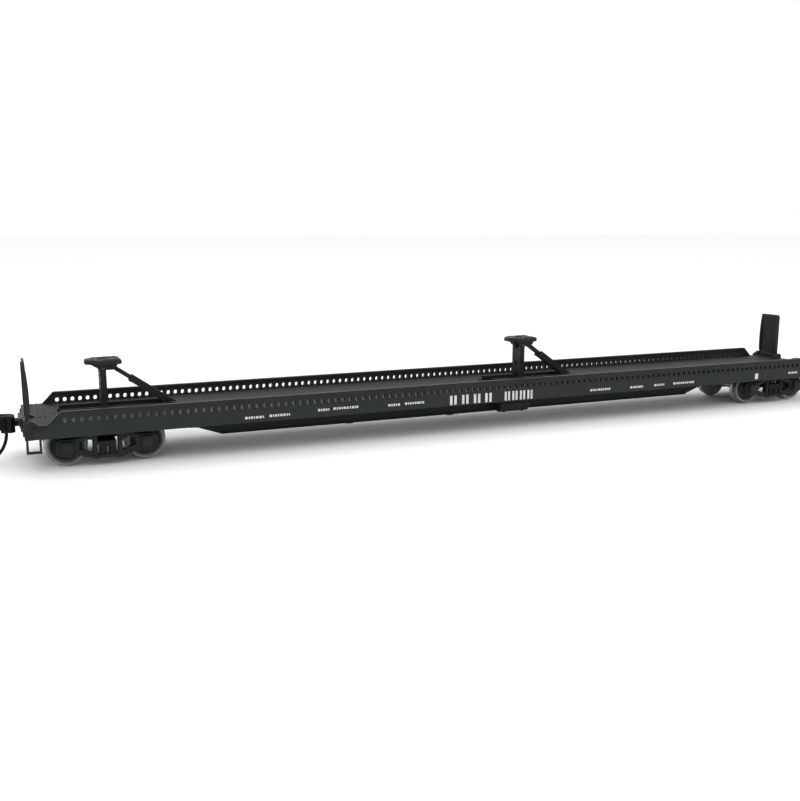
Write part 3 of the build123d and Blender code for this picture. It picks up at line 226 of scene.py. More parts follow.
COUPLER_METAL = surface(
    "coupler_metal", (0.0022, 0.0022, 0.0022), (0.0060, 0.0060, 0.0058),
    patch=2, grain=0.2, rough=(0.45, 0.62), shine=0.12,
)
WIRE_PAINT = surface(
    "wire_paint", (0.0070, 0.0085, 0.0080), (0.0150, 0.0170, 0.0160),
    patch=3, grain=0.2,
)
SPRING_PAINT = surface(
    "spring_paint", (0.0070, 0.0085, 0.0080), (0.0180, 0.0200, 0.0190),
    patch=1.5, grain=0.15,
)
WHEEL_FACE = surface(
    "wheel_face", (0.125, 0.128, 0.116), (0.230, 0.230, 0.212),
    patch=2.5, grain=0.25, rough=(0.40, 0.62), shine=0.3,
)
# Painted shade: a darker copy of the wheel face colour for the dished hollow round the hub and the groove,
# where shade falls.
WHEEL_PAINTED_SHADE = surface(
    "wheel_painted_shade", (0.030, 0.031, 0.028), (0.065, 0.066, 0.060),
    patch=2, grain=0.25,
)
MARKING = surface(
    "white_marking", (0.46, 0.48, 0.47), (0.64, 0.66, 0.64),
    patch=1.5, grain=0.2, rough=(0.5, 0.6),
)
RIM_METAL = brushed("worn_rim", (0.24, 0.235, 0.22), (0.44, 0.43, 0.40), 1)
AXLE_METAL = brushed("axle_metal", (0.16, 0.16, 0.155), (0.32, 0.32, 0.31), 1)
PIN_METAL = brushed("pin_metal", (0.035, 0.035, 0.035), (0.09, 0.09, 0.088), 1)
SCREW_METAL = brushed("screw_metal", (0.06, 0.06, 0.06), (0.16, 0.16, 0.155), 0)
WEIGHT_METAL = brushed("weight_metal", (0.16, 0.155, 0.15), (0.30, 0.29, 0.28), 0)
BRONZE = brushed("bronze_leaf", (0.40, 0.25, 0.10), (0.60, 0.40, 0.18), 0)

BY_SLOT = {
    "deck_surface": DECK_PAINT,
    "body_side": SIDE_PAINT,
    "underframe": FRAME_PAINT,
    "weight_steel": WEIGHT_METAL,
    "screw_steel": SCREW_METAL,
    "pin_steel": PIN_METAL,
    "spring_bronze": BRONZE,
    "coupler_metal": COUPLER_METAL,
    "truck_spring": SPRING_PAINT,
    "truck_plastic": TRUCK_PLASTIC,
    "hitch_metal": HITCH_PAINT,
    "bridge_plate": PLATE_PAINT,
    "fine_wire": WIRE_PAINT,
    "wheel": WHEEL_FACE,
    "axle_steel": AXLE_METAL,
}

for subpart in frame["record"]["subparts"]:
    node = frame["nodes"][subpart["node"]]
    finish = BY_SLOT[subpart["material_slot"]]
    if subpart["node"].startswith("guide_rail"):
        finish = RAIL_PAINT
    node.data.materials.clear()
    node.data.materials.append(finish)

# ---- Mesh building, in millimetres ---------------------------------------------------------------

STUD_SIDES = 8
STUD_SINK = 0.03
BOLT_SINK = 0.05
SMOOTH_UP_TO = 38
BEVEL_FROM = 40


def circle(centre, axis, side, radius, count):
    """Points round a centre, square to an axis, the first of them towards the side."""
    other = axis.cross(side)
    turns = [2 * math.pi * k / count for k in range(count)]
    return [centre + (side * math.cos(turn) + other * math.sin(turn)) * radius for turn in turns]


class Shape:
    """Solid parts gathered in millimetres, made into one object at the end."""

    def __init__(self):
        self.bm = bmesh.new()

    def prism(self, outline, vector):
        """A solid from a closed outline of 3-D points, pushed along a vector."""
        push = Vector(vector)
        near = [self.bm.verts.new(p) for p in outline]
        far = [self.bm.verts.new(Vector(p) + push) for p in outline]
        self.bm.faces.new(near)
        self.bm.faces.new(far[::-1])
        for k in range(len(outline)):
            n = (k + 1) % len(outline)
            self.bm.faces.new((near[k], far[k], far[n], near[n]))

    def slab(self, corner, opposite):
        """A rectangular solid between two opposite corners."""
        (x0, x1), (y0, y1), (z0, z1) = (sorted(pair) for pair in zip(corner, opposite))
        self.prism([(x0, y0, z0), (x1, y0, z0), (x1, y1, z0), (x0, y1, z0)], (0, 0, z1 - z0))

    def lathe(self, profile, centre, axis, steps=48, materials=None):
        """A solid turned about an axis; the profile is (along, radius) points, closed on itself."""
        axis = Vector(axis).normalized()
        side = axis.orthogonal().normalized()
        loops = []
        for along, radius in profile:
            points = circle(Vector(centre) + axis * along, axis, side, radius, steps)
            loops.append([self.bm.verts.new(p) for p in points])
        for k in range(steps):
            n = (k + 1) % steps
            for i in range(len(profile)):
                j = (i + 1) % len(profile)
                face = self.bm.faces.new((loops[i][k], loops[j][k], loops[j][n], loops[i][n]))
                face.material_index = materials[i] if materials else 0

    def skin(self, rings):
        """A solid through rings of points, with a flat cap at both ends."""
        rings = [[self.bm.verts.new(p) for p in ring] for ring in rings]
        for here, there in zip(rings, rings[1:]):
            for i in range(len(here)):
                j = (i + 1) % len(here)
                self.bm.faces.new((here[i], here[j], there[j], there[i]))
        self.bm.faces.new(rings[0][::-1])
        self.bm.faces.new(rings[-1])

    def rod(self, start, end, radius, sides=12):
        """A round bar between two points, with flat ends."""
        along = Vector(end) - Vector(start)
        axis = along.normalized()
        self.prism(circle(Vector(start), axis, axis.orthogonal().normalized(), radius, sides), along)

    def tube(self, points, radius, sides=10):
        """A round wire along a smooth path of points."""
        path = [Vector(p) for p in points]
        rings = []
        side = None
        for k, here in enumerate(path):
            ahead = path[min(k + 1, len(path) - 1)]
            behind = path[max(k - 1, 0)]
            axis = (ahead - behind).normalized()
            side = axis.orthogonal() if side is None else side - axis * side.dot(axis)
            side = side.normalized()
            rings.append(circle(here, axis, side, radius, sides))
        self.skin(rings)

    def stud(self, centre, normal, radius, height):
        """A domed rivet head standing on a face."""
        axis = Vector(normal).normalized()
        side = axis.orthogonal().normalized()
        base = Vector(centre) - axis * STUD_SINK
        levels = [(0.0, 1.0), (STUD_SINK + height * 0.55, 0.86), (STUD_SINK + height * 0.9, 0.5)]
        self.skin([
            circle(base + axis * rise, axis, side, radius * scale, STUD_SIDES)
            for rise, scale in levels
        ])

    def bolt(self, centre, normal, radius, height):
        """A hexagon bolt head on a face."""
        axis = Vector(normal).normalized()
        self.rod(Vector(centre) - axis * BOLT_SINK, Vector(centre) + axis * height, radius, 6)

    def done(self, name, materials, body, replaces=(), round_edge=0.0):
        """Make the object, give it its finish and let it ride on its body."""
        self.bm.transform(Matrix.Scale(MM, 4))
        bmesh.ops.recalc_face_normals(self.bm, faces=self.bm.faces)
        mesh = bpy.data.meshes.new(name)
        self.bm.to_mesh(mesh)
        self.bm.free()
        mesh.polygons.foreach_set("use_smooth", [True] * len(mesh.polygons))
        mesh.set_sharp_from_angle(angle=math.radians(SMOOTH_UP_TO))
        for finish in materials:
            mesh.materials.append(finish)
        obj = bpy.data.objects.new(name, mesh)
        bpy.context.scene.collection.objects.link(obj)
        if round_edge:
            bevel = obj.modifiers.new("rounded_edges", "BEVEL")
            bevel.width = round_edge * MM
            bevel.segments = 2
            bevel.limit_method = "ANGLE"
            bevel.angle_limit = math.radians(BEVEL_FROM)
            bevel.harden_normals = True
        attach(obj, body)
        if replaces:
            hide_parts(*replaces)


# ---- Body: rivets, seams and caps ----------------------------------------------------------------

RIVET_RADIUS, RIVET_HEIGHT = 0.15, 0.1
EDGE_RIVET_START, EDGE_RIVET_PITCH, EDGE_RIVETS = -129.4, 2.03, 128
STATION_REACH, STATIONS = 118.0, 21
STATION_RIVET_Z = (9.9, 10.5, 11.1, 11.7)
END_RIVET_REACH, END_RIVETS = 15.2, 14
END_RIVET_Z = (11.95, 9.25)
STRIKER_HALF_WIDTH = 5.2

rivets = Shape()
for side in SIDES:
    face = side * HALF_WIDTH
    for k in range(EDGE_RIVETS):
        x = EDGE_RIVET_START + EDGE_RIVET_PITCH * k
        rivets.stud((x, face, SILL_BOTTOM + 0.35), (0, side, 0), RIVET_RADIUS, RIVET_HEIGHT)
    for x in spaced(-STATION_REACH, STATION_REACH, STATIONS):
        for z in STATION_RIVET_Z:
            rivets.stud((x, face, z), (0, side, 0), 0.14, 0.09)
for end in ENDS:
    for y in spaced(-END_RIVET_REACH, END_RIVET_REACH, END_RIVETS):
        if abs(y) > STRIKER_HALF_WIDTH:
            for z in END_RIVET_Z:
                rivets.stud((end * HALF_LENGTH, y, z), (end, 0, 0), RIVET_RADIUS, RIVET_HEIGHT)
rivets.done("sill_rivets", [SIDE_PAINT], "car_body")

SEAM_HALF_WIDTH, SEAM_HEIGHT = 0.12, 0.05
SEAM_REACH = 14.8
SEAM_ROW_REACH, SEAMS = 120.0, 25
TRAY_BACK, TRAY_FRONT, TRAY_EDGE = 13.4, 20.8, 4.5
TREAD_STRIPS = (125.6, 127.0, 128.4)
STRIP_WIDTH, STRIP_HEIGHT = 0.35, 0.22
STRIP_OUTER, STRIP_INNER = 15.2, 4.9

seams = Shape()
for x in spaced(-SEAM_ROW_REACH, SEAM_ROW_REACH, SEAMS):
    spans = [(-SEAM_REACH, SEAM_REACH)]
    if any(hitch_x - TRAY_BACK < x < hitch_x + TRAY_FRONT for hitch_x in HITCH_X):
        spans = [(side * TRAY_EDGE, side * SEAM_REACH) for side in SIDES]
    for start, stop in spans:
        seams.slab(
            (x - SEAM_HALF_WIDTH, start, DECK_TOP - SINK),
            (x + SEAM_HALF_WIDTH, stop, DECK_TOP + SEAM_HEIGHT),
        )
for end in ENDS:
    for x in TREAD_STRIPS:
        seams.slab(
            (end * x, -end * STRIP_OUTER, DECK_TOP - SINK),
            (end * (x + STRIP_WIDTH), end * STRIP_INNER, DECK_TOP + STRIP_HEIGHT),
        )
seams.done("deck_seams", [DECK_PAINT], "car_body", round_edge=0.03)

GUIDE_SLOPE = 2.8
CAP_DEPTH, CAP_HEIGHT = 1.45, 0.14

caps = Shape()
for side in SIDES:
    outer = side * HALF_WIDTH
    inner = side * (HALF_WIDTH - CAP_DEPTH)
    for end in ENDS:
        outline = [
            (end * (GUIDE_FOOT + 0.35), outer, DECK_TOP + SINK),
            (end * (GUIDE_FOOT - SINK), outer, DECK_TOP + SINK),
            (end * (GUIDE_FOOT - GUIDE_SLOPE - SINK), outer, GUIDE_TOP),
            (end * (GUIDE_FOOT - GUIDE_SLOPE + 0.18), outer, GUIDE_TOP + CAP_HEIGHT),
        ]
        caps.prism(outline, (0, inner - outer, 0))
    cap_end = GUIDE_FOOT - GUIDE_SLOPE + 0.05
    caps.slab((-cap_end, outer, GUIDE_TOP - SINK), (cap_end, inner, GUIDE_TOP + CAP_HEIGHT))
caps.done("guide_rail_caps", [RAIL_PAINT], "car_body", round_edge=0.05)

# ---- Body: plain white markings ------------------------------------------------------------------

MARK_BOTTOM, MARK_HEIGHT = 9.25, 2.75
MARK_RELIEF = 0.03
DASH_WIDTHS = (0.7, 0.35, 0.55, 0.35, 0.6)
DASH_HEIGHT, DASH_GAP = 0.65, 0.26
# Where the two bars of a pair lie, as shares of its width.
BAR_SHARES = ((0.0, 0.34), (0.6, 0.94))
# The width of each kind of bar pair, and where its pairs start.
BAR_PAIRS = ((2.3, (-15.7, -11.8, -7.9, -4.1)), (1.9, (2.5, 5.1, 7.7, 10.3)))
# Where each row of dashes starts and stops along the near side, and its height.
DASH_ROWS = (
    (-76.5, -71.0, 10.25),
    (-69.8, -64.1, 10.35),
    (-56.1, -52.8, 10.85),
    (-51.6, -44.3, 10.95),
    (-35.2, -31.4, 10.65),
    (-30.0, -23.7, 10.75),
    (32.9, 40.7, 10.35),
    (48.0, 53.0, 10.25),
    (57.3, 61.3, 10.35),
    (64.9, 73.4, 10.4),
    (114.0, 118.1, 10.9),
    (121.4, 125.0, 10.9),
    (121.4, 125.0, 9.9),
)


def mark(shape, side, left, right, bottom, top):
    """One plain white bar on a side, placed as on the near side and turned round for the far one."""
    face = side * HALF_WIDTH
    shape.slab((-side * left, face - side * SINK, bottom), (-side * right, face + side * MARK_RELIEF, top))


def dashes(shape, side, start, stop, z):
    """A row of small bars in a repeating pattern of widths."""
    x, k = start, 0
    while x < stop - 0.1:
        wide = min(DASH_WIDTHS[k % len(DASH_WIDTHS)], stop - x)
        mark(shape, side, x, x + wide, z - DASH_HEIGHT / 2, z + DASH_HEIGHT / 2)
        x += wide + DASH_GAP
        k += 1


def bar_pair(shape, side, start, wide):
    """A pair of tall upright bars."""
    for left, right in BAR_SHARES:
        mark(shape, side, start + left * wide, start + right * wide, MARK_BOTTOM, MARK_BOTTOM + MARK_HEIGHT)


marks = Shape()
for side in SIDES:
    for wide, starts in BAR_PAIRS:
        for start in starts:
            bar_pair(marks, side, start, wide)
    for start, stop, z in DASH_ROWS:
        dashes(marks, side, start, stop, z)
    mark(marks, side, 99.2, 100.5, 9.65, 11.55)
marks.done("plain_markings", [MARKING], "car_body")

# ---- Underframe details --------------------------------------------------------------------------

CENTRE_SILL_FACE = 3.2
SILL_RIVET_REACH, SILL_RIVETS = 78.0, 33
SILL_RIVET_Z = (5.0, 10.5)
CROSSBEARER_X = (-72.0, -45.0, -22.0, 0.0, 27.0, 48.0, 72.0)
FLANGE_HALF_WIDTH, FLANGE_THICKNESS = 0.9, 0.28
FLANGE_INNER_Y, FLANGE_INNER_Z = 3.25, 6.05
FLANGE_OUTER_Y, FLANGE_OUTER_Z = 14.5, 9.15
BOLSTER_TOP, BOLSTER_SLOPE = 9.2, 1.7 / 9.3

under = Shape()
for side in SIDES:
    for x in spaced(-SILL_RIVET_REACH, SILL_RIVET_REACH, SILL_RIVETS):
        for z in SILL_RIVET_Z:
            under.stud((x, side * CENTRE_SILL_FACE, z), (0, side, 0), 0.16, 0.1)
for x in CROSSBEARER_X:
    for side in SIDES:
        outline = [
            (x - FLANGE_HALF_WIDTH, side * FLANGE_INNER_Y, FLANGE_INNER_Z),
            (x + FLANGE_HALF_WIDTH, side * FLANGE_INNER_Y, FLANGE_INNER_Z),
            (x + FLANGE_HALF_WIDTH, side * FLANGE_OUTER_Y, FLANGE_OUTER_Z),
            (x - FLANGE_HALF_WIDTH, side * FLANGE_OUTER_Y, FLANGE_OUTER_Z),
        ]
        under.prism(outline, (0, 0, FLANGE_THICKNESS))
for end in ENDS:
    for side in SIDES:
        for dx in (-1.9, 1.9):
            for y in (7.2, 9.6, 12.0, 14.2):
                foot = (end * TRUCK_X + dx, side * y, BOLSTER_TOP + (y - 6) * BOLSTER_SLOPE)
                under.stud(foot, (0, 0, -1), 0.2, 0.12)
under.done("underframe_details", [FRAME_PAINT], "car_body", round_edge=0.04)

CYLINDER_Y, CYLINDER_Z = 8.2, 7.6
ROD_Z = 3.5
LEVER_LOW, LEVER_HIGH = 3.35, 3.75

rigging = Shape()
rigging.rod((-20.0, CYLINDER_Y, CYLINDER_Z), (-42.0, 2.2, ROD_Z + 0.05), 0.22)
rigging.rod((-42.0, -1.9, ROD_Z), (-95.0, -1.9, 6.4), 0.2)
rigging.rod((-9.0, CYLINDER_Y, CYLINDER_Z), (-9.0, -2.0, ROD_Z), 0.22)
rigging.rod((-9.0, -2.0, ROD_Z), (95.0, -2.0, 6.4), 0.2)
rigging.slab((-43.0, -2.6, LEVER_LOW), (-41.0, 3.0, LEVER_HIGH))
rigging.slab((-10.0, -2.8, LEVER_LOW), (-8.2, -1.2, LEVER_HIGH))
rigging.tube([(5.2, 7.6, 9.4), (4.6, 4.0, 9.6), (4.4, 0.0, 3.4), (4.6, -4.0, 6.0), (5.4, -8.0, 6.7)], 0.25)
rigging.done("brake_rigging", [FRAME_PAINT], "car_body")

tank_low, tank_high = millimetres("air_reservoir")
tank_radius = (tank_high.y - tank_low.y) / 2
tank_x = (tank_low.x + tank_high.x) / 2
tank_y = (tank_low.y + tank_high.y) / 2
tank_z = tank_low.z + tank_radius
cylinder_end = millimetres("brake_cylinder")[1].x
BOLT_CIRCLE = 1.55

bands = Shape()
for dx in (-3.2, 3.2):
    inside, outside = tank_radius - 0.05, tank_radius + 0.16
    strap = [(-0.35, inside), (-0.35, outside), (0.35, outside), (0.35, inside)]
    bands.lathe(strap, (tank_x + dx, tank_y, tank_z), (1, 0, 0), 40)
plug = [(0.0, 0.1), (0.0, 0.55), (0.35, 0.5), (0.45, 0.1)]
bands.lathe(plug, (tank_high.x - SINK, tank_y, tank_z), (1, 0, 0), 16)
for k in range(6):
    turn = math.radians(60 * k)
    y = CYLINDER_Y + BOLT_CIRCLE * math.cos(turn)
    z = CYLINDER_Z + BOLT_CIRCLE * math.sin(turn)
    bands.bolt((cylinder_end - 0.05, y, z), (1, 0, 0), 0.22, 0.22)
flange = [(-0.3, 1.9), (-0.3, 2.3), (0.3, 2.3), (0.3, 1.9)]
bands.lathe(flange, (-14.3, CYLINDER_Y, CYLINDER_Z), (1, 0, 0), 32)
bands.done("tank_bands", [FRAME_PAINT], "car_body", round_edge=0.04)

# ---- End sills: poling pockets -------------------------------------------------------------------

POCKET_Y, POCKET_Z = 14.2, 10.6

for number, end in enumerate(ENDS, start=1):
    pockets = Shape()
    for side in SIDES:
        rim = [(-0.05, 0.75), (-0.05, 1.15), (0.4, 1.05), (0.4, 0.75)]
        pockets.lathe(rim, (end * HALF_LENGTH, side * POCKET_Y, POCKET_Z), (end, 0, 0), 24)
    pockets.done(f"poling_pockets_{number}", [SIDE_PAINT], "car_body")

# ---- Trucks --------------------------------------------------------------------------------------

AXLE_OFFSET = 9.9
FRAME_FACE = 12.3
SPRING_LOW, SPRING_HIGH = 3.1, 5.0
SPRING_Y = 11.575
COIL_RADIUS, COIL_TURNS, COIL_STEPS = 0.76, 4.5, 90
SEAT_RADIUS, SEAT_HEIGHT = 0.96, 0.2
RIB_RELIEF = 0.28
ARCH_RELIEF = 0.3


def coil_spring(shape, x, y):
    """A helical spring round its core, between two seats."""
    points = []
    for k in range(COIL_STEPS + 1):
        turn = 2 * math.pi * COIL_TURNS * k / COIL_STEPS
        rise = (SPRING_HIGH - SPRING_LOW - 2 * SEAT_HEIGHT) * k / COIL_STEPS
        points.append((
            x + COIL_RADIUS * math.cos(turn),
            y + COIL_RADIUS * math.sin(turn),
            SPRING_LOW + SEAT_HEIGHT + rise,
        ))
    shape.tube(points, 0.2, 8)
    shape.rod((x, y, SPRING_LOW), (x, y, SPRING_HIGH), 0.3, 10)
    for z in (SPRING_LOW, SPRING_HIGH - SEAT_HEIGHT):
        shape.rod((x, y, z), (x, y, z + SEAT_HEIGHT), SEAT_RADIUS, 20)


def journal_box(shape, x, side):
    """The lid of an axle box with its hinge, and the four bolts round it."""
    lid = side * (FRAME_FACE + 0.55)
    lid_face = side * (FRAME_FACE + 0.95)
    shape.slab((x - 1.15, lid, 4.3), (x + 1.15, lid_face, 6.3))
    shape.slab((x - 1.5, lid, 6.3), (x + 1.5, lid_face, 6.75))
    hinge = lid + side * 0.2
    shape.rod((x - 1.25, hinge, 6.9), (x + 1.25, hinge, 6.9), 0.2, 10)
    for dx in (-2.1, 2.1):
        for z in (7.0, 4.0):
            shape.bolt((x + dx, side * FRAME_FACE, z), (0, side, 0), 0.28, 0.25)


def frame_ribs(shape, x0, hand, side):
    """The raised ribs of a side frame towards one axle, and the riveted column between them."""
    face = side * FRAME_FACE
    upper = [(2.9, 8.75), (2.9, 8.35), (7.2, 7.15), (7.9, 7.35)]
    lower = [(2.8, 2.35), (2.8, 2.75), (8.0, 4.15), (8.3, 3.7)]
    for rib in (upper, lower):
        shape.prism([(x0 + hand * dx, face, z) for dx, z in rib], (0, side * ARCH_RELIEF, 0))
    column = x0 + hand * 3.1
    column_face = face + side * RIB_RELIEF
    shape.slab((column - 0.28, face, 2.9), (column + 0.28, column_face, 8.3))
    for z in (3.6, 7.4):
        shape.stud((column, column_face, z), (0, side, 0), 0.18, 0.1)


def bolster_end(shape, x0, side):
    """The ribbed end of the bolster in the middle of the side frame."""
    back = side * (FRAME_FACE - 0.1)
    front = side * (FRAME_FACE + RIB_RELIEF)
    for low, high in ((5.05, 5.35), (6.15, 6.45)):
        shape.slab((x0 - 2.2, back, low), (x0 + 2.2, front, high))
    for dx in (-1.2, 0, 1.2):
        shape.slab((x0 + dx - 0.14, back, 5.35), (x0 + dx + 0.14, front, 6.15))


for number, end in enumerate(ENDS, start=1):
    body = f"truck_{number}"
    x0 = end * TRUCK_X

    coils = Shape()
    for side in SIDES:
        for dx in (-1.15, 1.15):
            coil_spring(coils, x0 + dx, side * SPRING_Y)
    coils.done(
        f"truck_{number}_coils", [SPRING_PAINT], body,
        replaces=[f"truck_{number}_springs"],
    )

    trim = Shape()
    for side in SIDES:
        for hand in SIDES:
            journal_box(trim, x0 + hand * AXLE_OFFSET, side)
            frame_ribs(trim, x0, hand, side)
        bolster_end(trim, x0, side)
    trim.done(f"truck_{number}_trim", [TRUCK_PLASTIC], body, round_edge=0.06)

# ---- Wheels --------------------------------------------------------------------------------------

WHEELSETS = (1, 2, 3, 4)
BACK = 7.25
FACE = 10.05
TREAD = 4.95
FLANGE = 5.45
# Points along the axle and out from it, each with the finish of the face that starts there:
# 0 rim metal, 1 painted face, 2 painted shade, a darker colour for the hollows where shade falls.
WHEEL_PROFILE = [
    (BACK, 1.05, 1),
    (BACK, 1.75, 1),
    (BACK + 0.1, 2.0, 1),
    (BACK + 0.75, 2.35, 1),
    (BACK + 0.8, 3.0, 1),
    (BACK + 0.7, 3.6, 1),
    (BACK + 0.1, 3.95, 1),
    (BACK, 4.15, 1),
    (BACK, 5.1, 0),
    (BACK + 0.07, 5.32, 0),
    (BACK + 0.25, FLANGE, 0),
    (BACK + 0.45, 5.42, 0),
    (BACK + 0.62, 5.25, 0),
    (BACK + 0.75, 5.05, 0),
    (BACK + 0.95, TREAD + 0.01, 0),
    (FACE - 0.12, TREAD - 0.04, 1),
    (FACE - 0.02, TREAD - 0.1, 1),
    (FACE, TREAD - 0.2, 1),
    (FACE, 4.3, 2),
    (FACE - 0.15, 4.22, 2),
    (FACE - 0.15, 4.02, 1),
    (FACE - 0.3, 3.9, 2),
    (FACE - 0.8, 3.55, 2),
    (FACE - 1.1, 3.0, 2),
    (FACE - 1.1, 2.5, 2),
    (FACE - 0.7, 2.05, 2),
    (FACE - 0.05, 1.85, 1),
    (FACE + 0.1, 1.72, 1),
    (FACE + 0.1, 1.05, 1),
]

for number in WHEELSETS:
    centre = middle(f"axle_{number}")
    pair = Shape()
    for side in SIDES:
        profile = [(side * along, radius) for along, radius, _ in WHEEL_PROFILE]
        finishes = [finish for _, _, finish in WHEEL_PROFILE]
        pair.lathe(profile, (centre.x, 0, centre.z), (0, 1, 0), 72, finishes)
    pair.done(
        f"wheelset_{number}_wheels", [RIM_METAL, WHEEL_FACE, WHEEL_PAINTED_SHADE], f"wheelset_{number}",
        replaces=[f"wheels_{number}"],
    )

# ---- Hitches -------------------------------------------------------------------------------------

HEAD_PLATE_THICKNESS = 1.2
CHEEK_FACE = 2.95
CHEEK_DEPTH = 0.9
LEG_FACE = 2.45
LEG_HALF_WIDTH = 0.8
FOOT_FROM_POST, FOOT_Z = 17.8, 13.2
STRUT_TOP_FROM_POST, STRUT_TOP_Z = 2.3, 24.2
SLEEVE_FACE = 1.44
BAND_UNDER, BAND_HEIGHT, BAND_THICKNESS = 0.97, 1.8, 0.14
TRAY_WALL = 3.65
TRAY_FLANGE_TOP = DECK_TOP + 0.3


def head_trim(number, x0):
    """The rim of the kingpin opening, two wear pads, bolt heads and the cheeks' raised faces."""
    top = millimetres(f"hitch_{number}_head")[1].z
    cheek_top = top - HEAD_PLATE_THICKNESS
    head = Shape()
    rim = [(-0.05, 0.95), (-0.05, 1.45), (0.14, 1.38), (0.14, 0.95)]
    head.lathe(rim, (x0, 0, top), (0, 0, 1), 32)
    for side in SIDES:
        head.slab((x0 + 0.6, side * 1.5, top - 0.05), (x0 + 3.9, side * 3.4, top + 0.09))
        for dx in (1.1, 3.4):
            head.bolt((x0 + dx, side * 2.5, top + 0.08), (0, 0, 1), 0.3, 0.12)
        head.bolt((x0 - 2.4, side * 2.2, top), (0, 0, 1), 0.3, 0.15)
        outline = [
            (x0 - 1.7, side * CHEEK_FACE, cheek_top),
            (x0 + 3.4, side * CHEEK_FACE, cheek_top),
            (x0 + 2.7, side * CHEEK_FACE, cheek_top - CHEEK_DEPTH),
            (x0 - 0.9, side * CHEEK_FACE, cheek_top - CHEEK_DEPTH),
        ]
        head.prism(outline, (0, side * 0.1, 0))
    head.done(
        f"hitch_{number}_head_plate", [HITCH_PAINT], f"hitch_{number}_head",
        round_edge=0.05,
    )


def post_trim(number, x0):
    """A rib down each leg, a boss round each foot pin and three bars across the back."""
    pivot_z = millimetres(f"hitch_{number}_post")[0].z + LEG_HALF_WIDTH
    post = Shape()
    for side in SIDES:
        face = side * LEG_FACE
        post.slab((x0 - 0.25, face, 15.0), (x0 + 0.25, face + side * 0.08, 22.6))
        boss = [(0, 0.53), (0, 0.72), (0.2, 0.72), (0.2, 0.53)]
        post.lathe(boss, (x0, face, pivot_z), (0, side, 0), 24)
    for z in (15.6, 19.4, 21.8):
        post.slab((x0 - 0.95, -1.2, z - 0.15), (x0 - 0.78, 1.2, z + 0.15))
    post.done(
        f"hitch_{number}_post_ribs", [HITCH_PAINT], f"hitch_{number}_post",
        round_edge=0.05,
    )


def sleeve_trim(number, x0):
    """Three bands round the strut sleeve, open at the top like the channel itself."""
    foot = Vector((x0 + FOOT_FROM_POST, 0, FOOT_Z))
    angle = math.atan2(STRUT_TOP_Z - FOOT_Z, STRUT_TOP_FROM_POST - FOOT_FROM_POST)
    along = Vector((math.cos(angle), 0, math.sin(angle)))
    up = Vector((0, -1, 0)).cross(along)
    up = up if up.z > 0 else -up
    bands = Shape()
    for distance, length in ((1.6, 0.5), (6.6, 0.5), (12.45, 0.55)):
        start = foot + along * distance
        stretch = along * length
        for side in SIDES:
            low = start - up * BAND_UNDER + Vector((0, side * SLEEVE_FACE, 0))
            high = low + up * BAND_HEIGHT
            bands.prism([low, low + stretch, high + stretch, high], (0, side * BAND_THICKNESS, 0))
        low = start - up * (BAND_UNDER + 0.1) + Vector((0, -1.5, 0))
        high = low + up * BAND_THICKNESS
        bands.prism([low, low + stretch, high + stretch, high], (0, 3.0, 0))
    bands.done(
        f"hitch_{number}_sleeve_bands", [HITCH_PAINT], f"hitch_{number}_sleeve",
        round_edge=0.04,
    )


def base_trim(number, x0):
    """Bolt heads along the tray's flanges, and pin lugs and stiffeners on its walls."""
    base = Shape()
    for side in SIDES:
        wall = side * TRAY_WALL
        for dx in (-11.4, -8.0, -4.4, 2.6, 6.4, 10.2, 14.0, 19.3):
            base.bolt((x0 + dx, side * 4.05, TRAY_FLANGE_TOP), (0, 0, 1), 0.26, 0.16)
        for dx in (0.0, FOOT_FROM_POST):
            lug = [
                (x0 + dx - 1.3, wall, TRAY_FLANGE_TOP),
                (x0 + dx + 1.3, wall, TRAY_FLANGE_TOP),
                (x0 + dx + 0.8, wall, TRAY_TOP),
                (x0 + dx - 0.8, wall, TRAY_TOP),
            ]
            base.prism(lug, (0, side * 0.22, 0))
        for dx in (-7.0, 5.0, 9.5, 13.5):
            base.slab(
                (x0 + dx - 0.15, wall, TRAY_FLANGE_TOP),
                (x0 + dx + 0.15, wall + side * 0.2, TRAY_TOP - 0.15),
            )
    base.done(f"hitch_{number}_base_bolts", [HITCH_PAINT], "car_body", round_edge=0.04)


for number, x0 in enumerate(HITCH_X, start=1):
    head_trim(number, x0)
    post_trim(number, x0)
    sleeve_trim(number, x0)
    base_trim(number, x0)

# ---- Bridge plates -------------------------------------------------------------------------------

PLATE_THICKNESS = 0.6
PLATE_OUTER_X = HALF_LENGTH - 0.45
LUG_HALF_LENGTH, LUG_TILT, LUG_HALF_WIDTH, LUG_RELIEF = 0.26, 0.22, 0.07, 0.09
LUG_PITCH, ROW_PITCH = 0.9, 0.62
FIRST_ROW_Z = 15.3


def tread_lugs(shape, end, plate_low, plate_high):
    """Rows of small slanting lugs on the face that trailers drive over, leaning to either side in turn."""
    face = end * (PLATE_OUTER_X - PLATE_THICKNESS)
    z, row = FIRST_ROW_Z, 0
    while z < plate_high.z - 0.9:
        y = plate_low.y + 1.0 + (LUG_PITCH / 2 if row % 2 else 0.0)
        while y < plate_high.y - 0.9:
            tilt = LUG_TILT if (row + int(y * 3)) % 2 else -LUG_TILT
            outline = [
                (face, y - LUG_HALF_LENGTH, z - tilt - LUG_HALF_WIDTH),
                (face, y + LUG_HALF_LENGTH, z + tilt - LUG_HALF_WIDTH),
                (face, y + LUG_HALF_LENGTH, z + tilt + LUG_HALF_WIDTH),
                (face, y - LUG_HALF_LENGTH, z - tilt + LUG_HALF_WIDTH),
            ]
            shape.prism(outline, (-end * LUG_RELIEF, 0, 0))
            y += LUG_PITCH
        z += ROW_PITCH
        row += 1


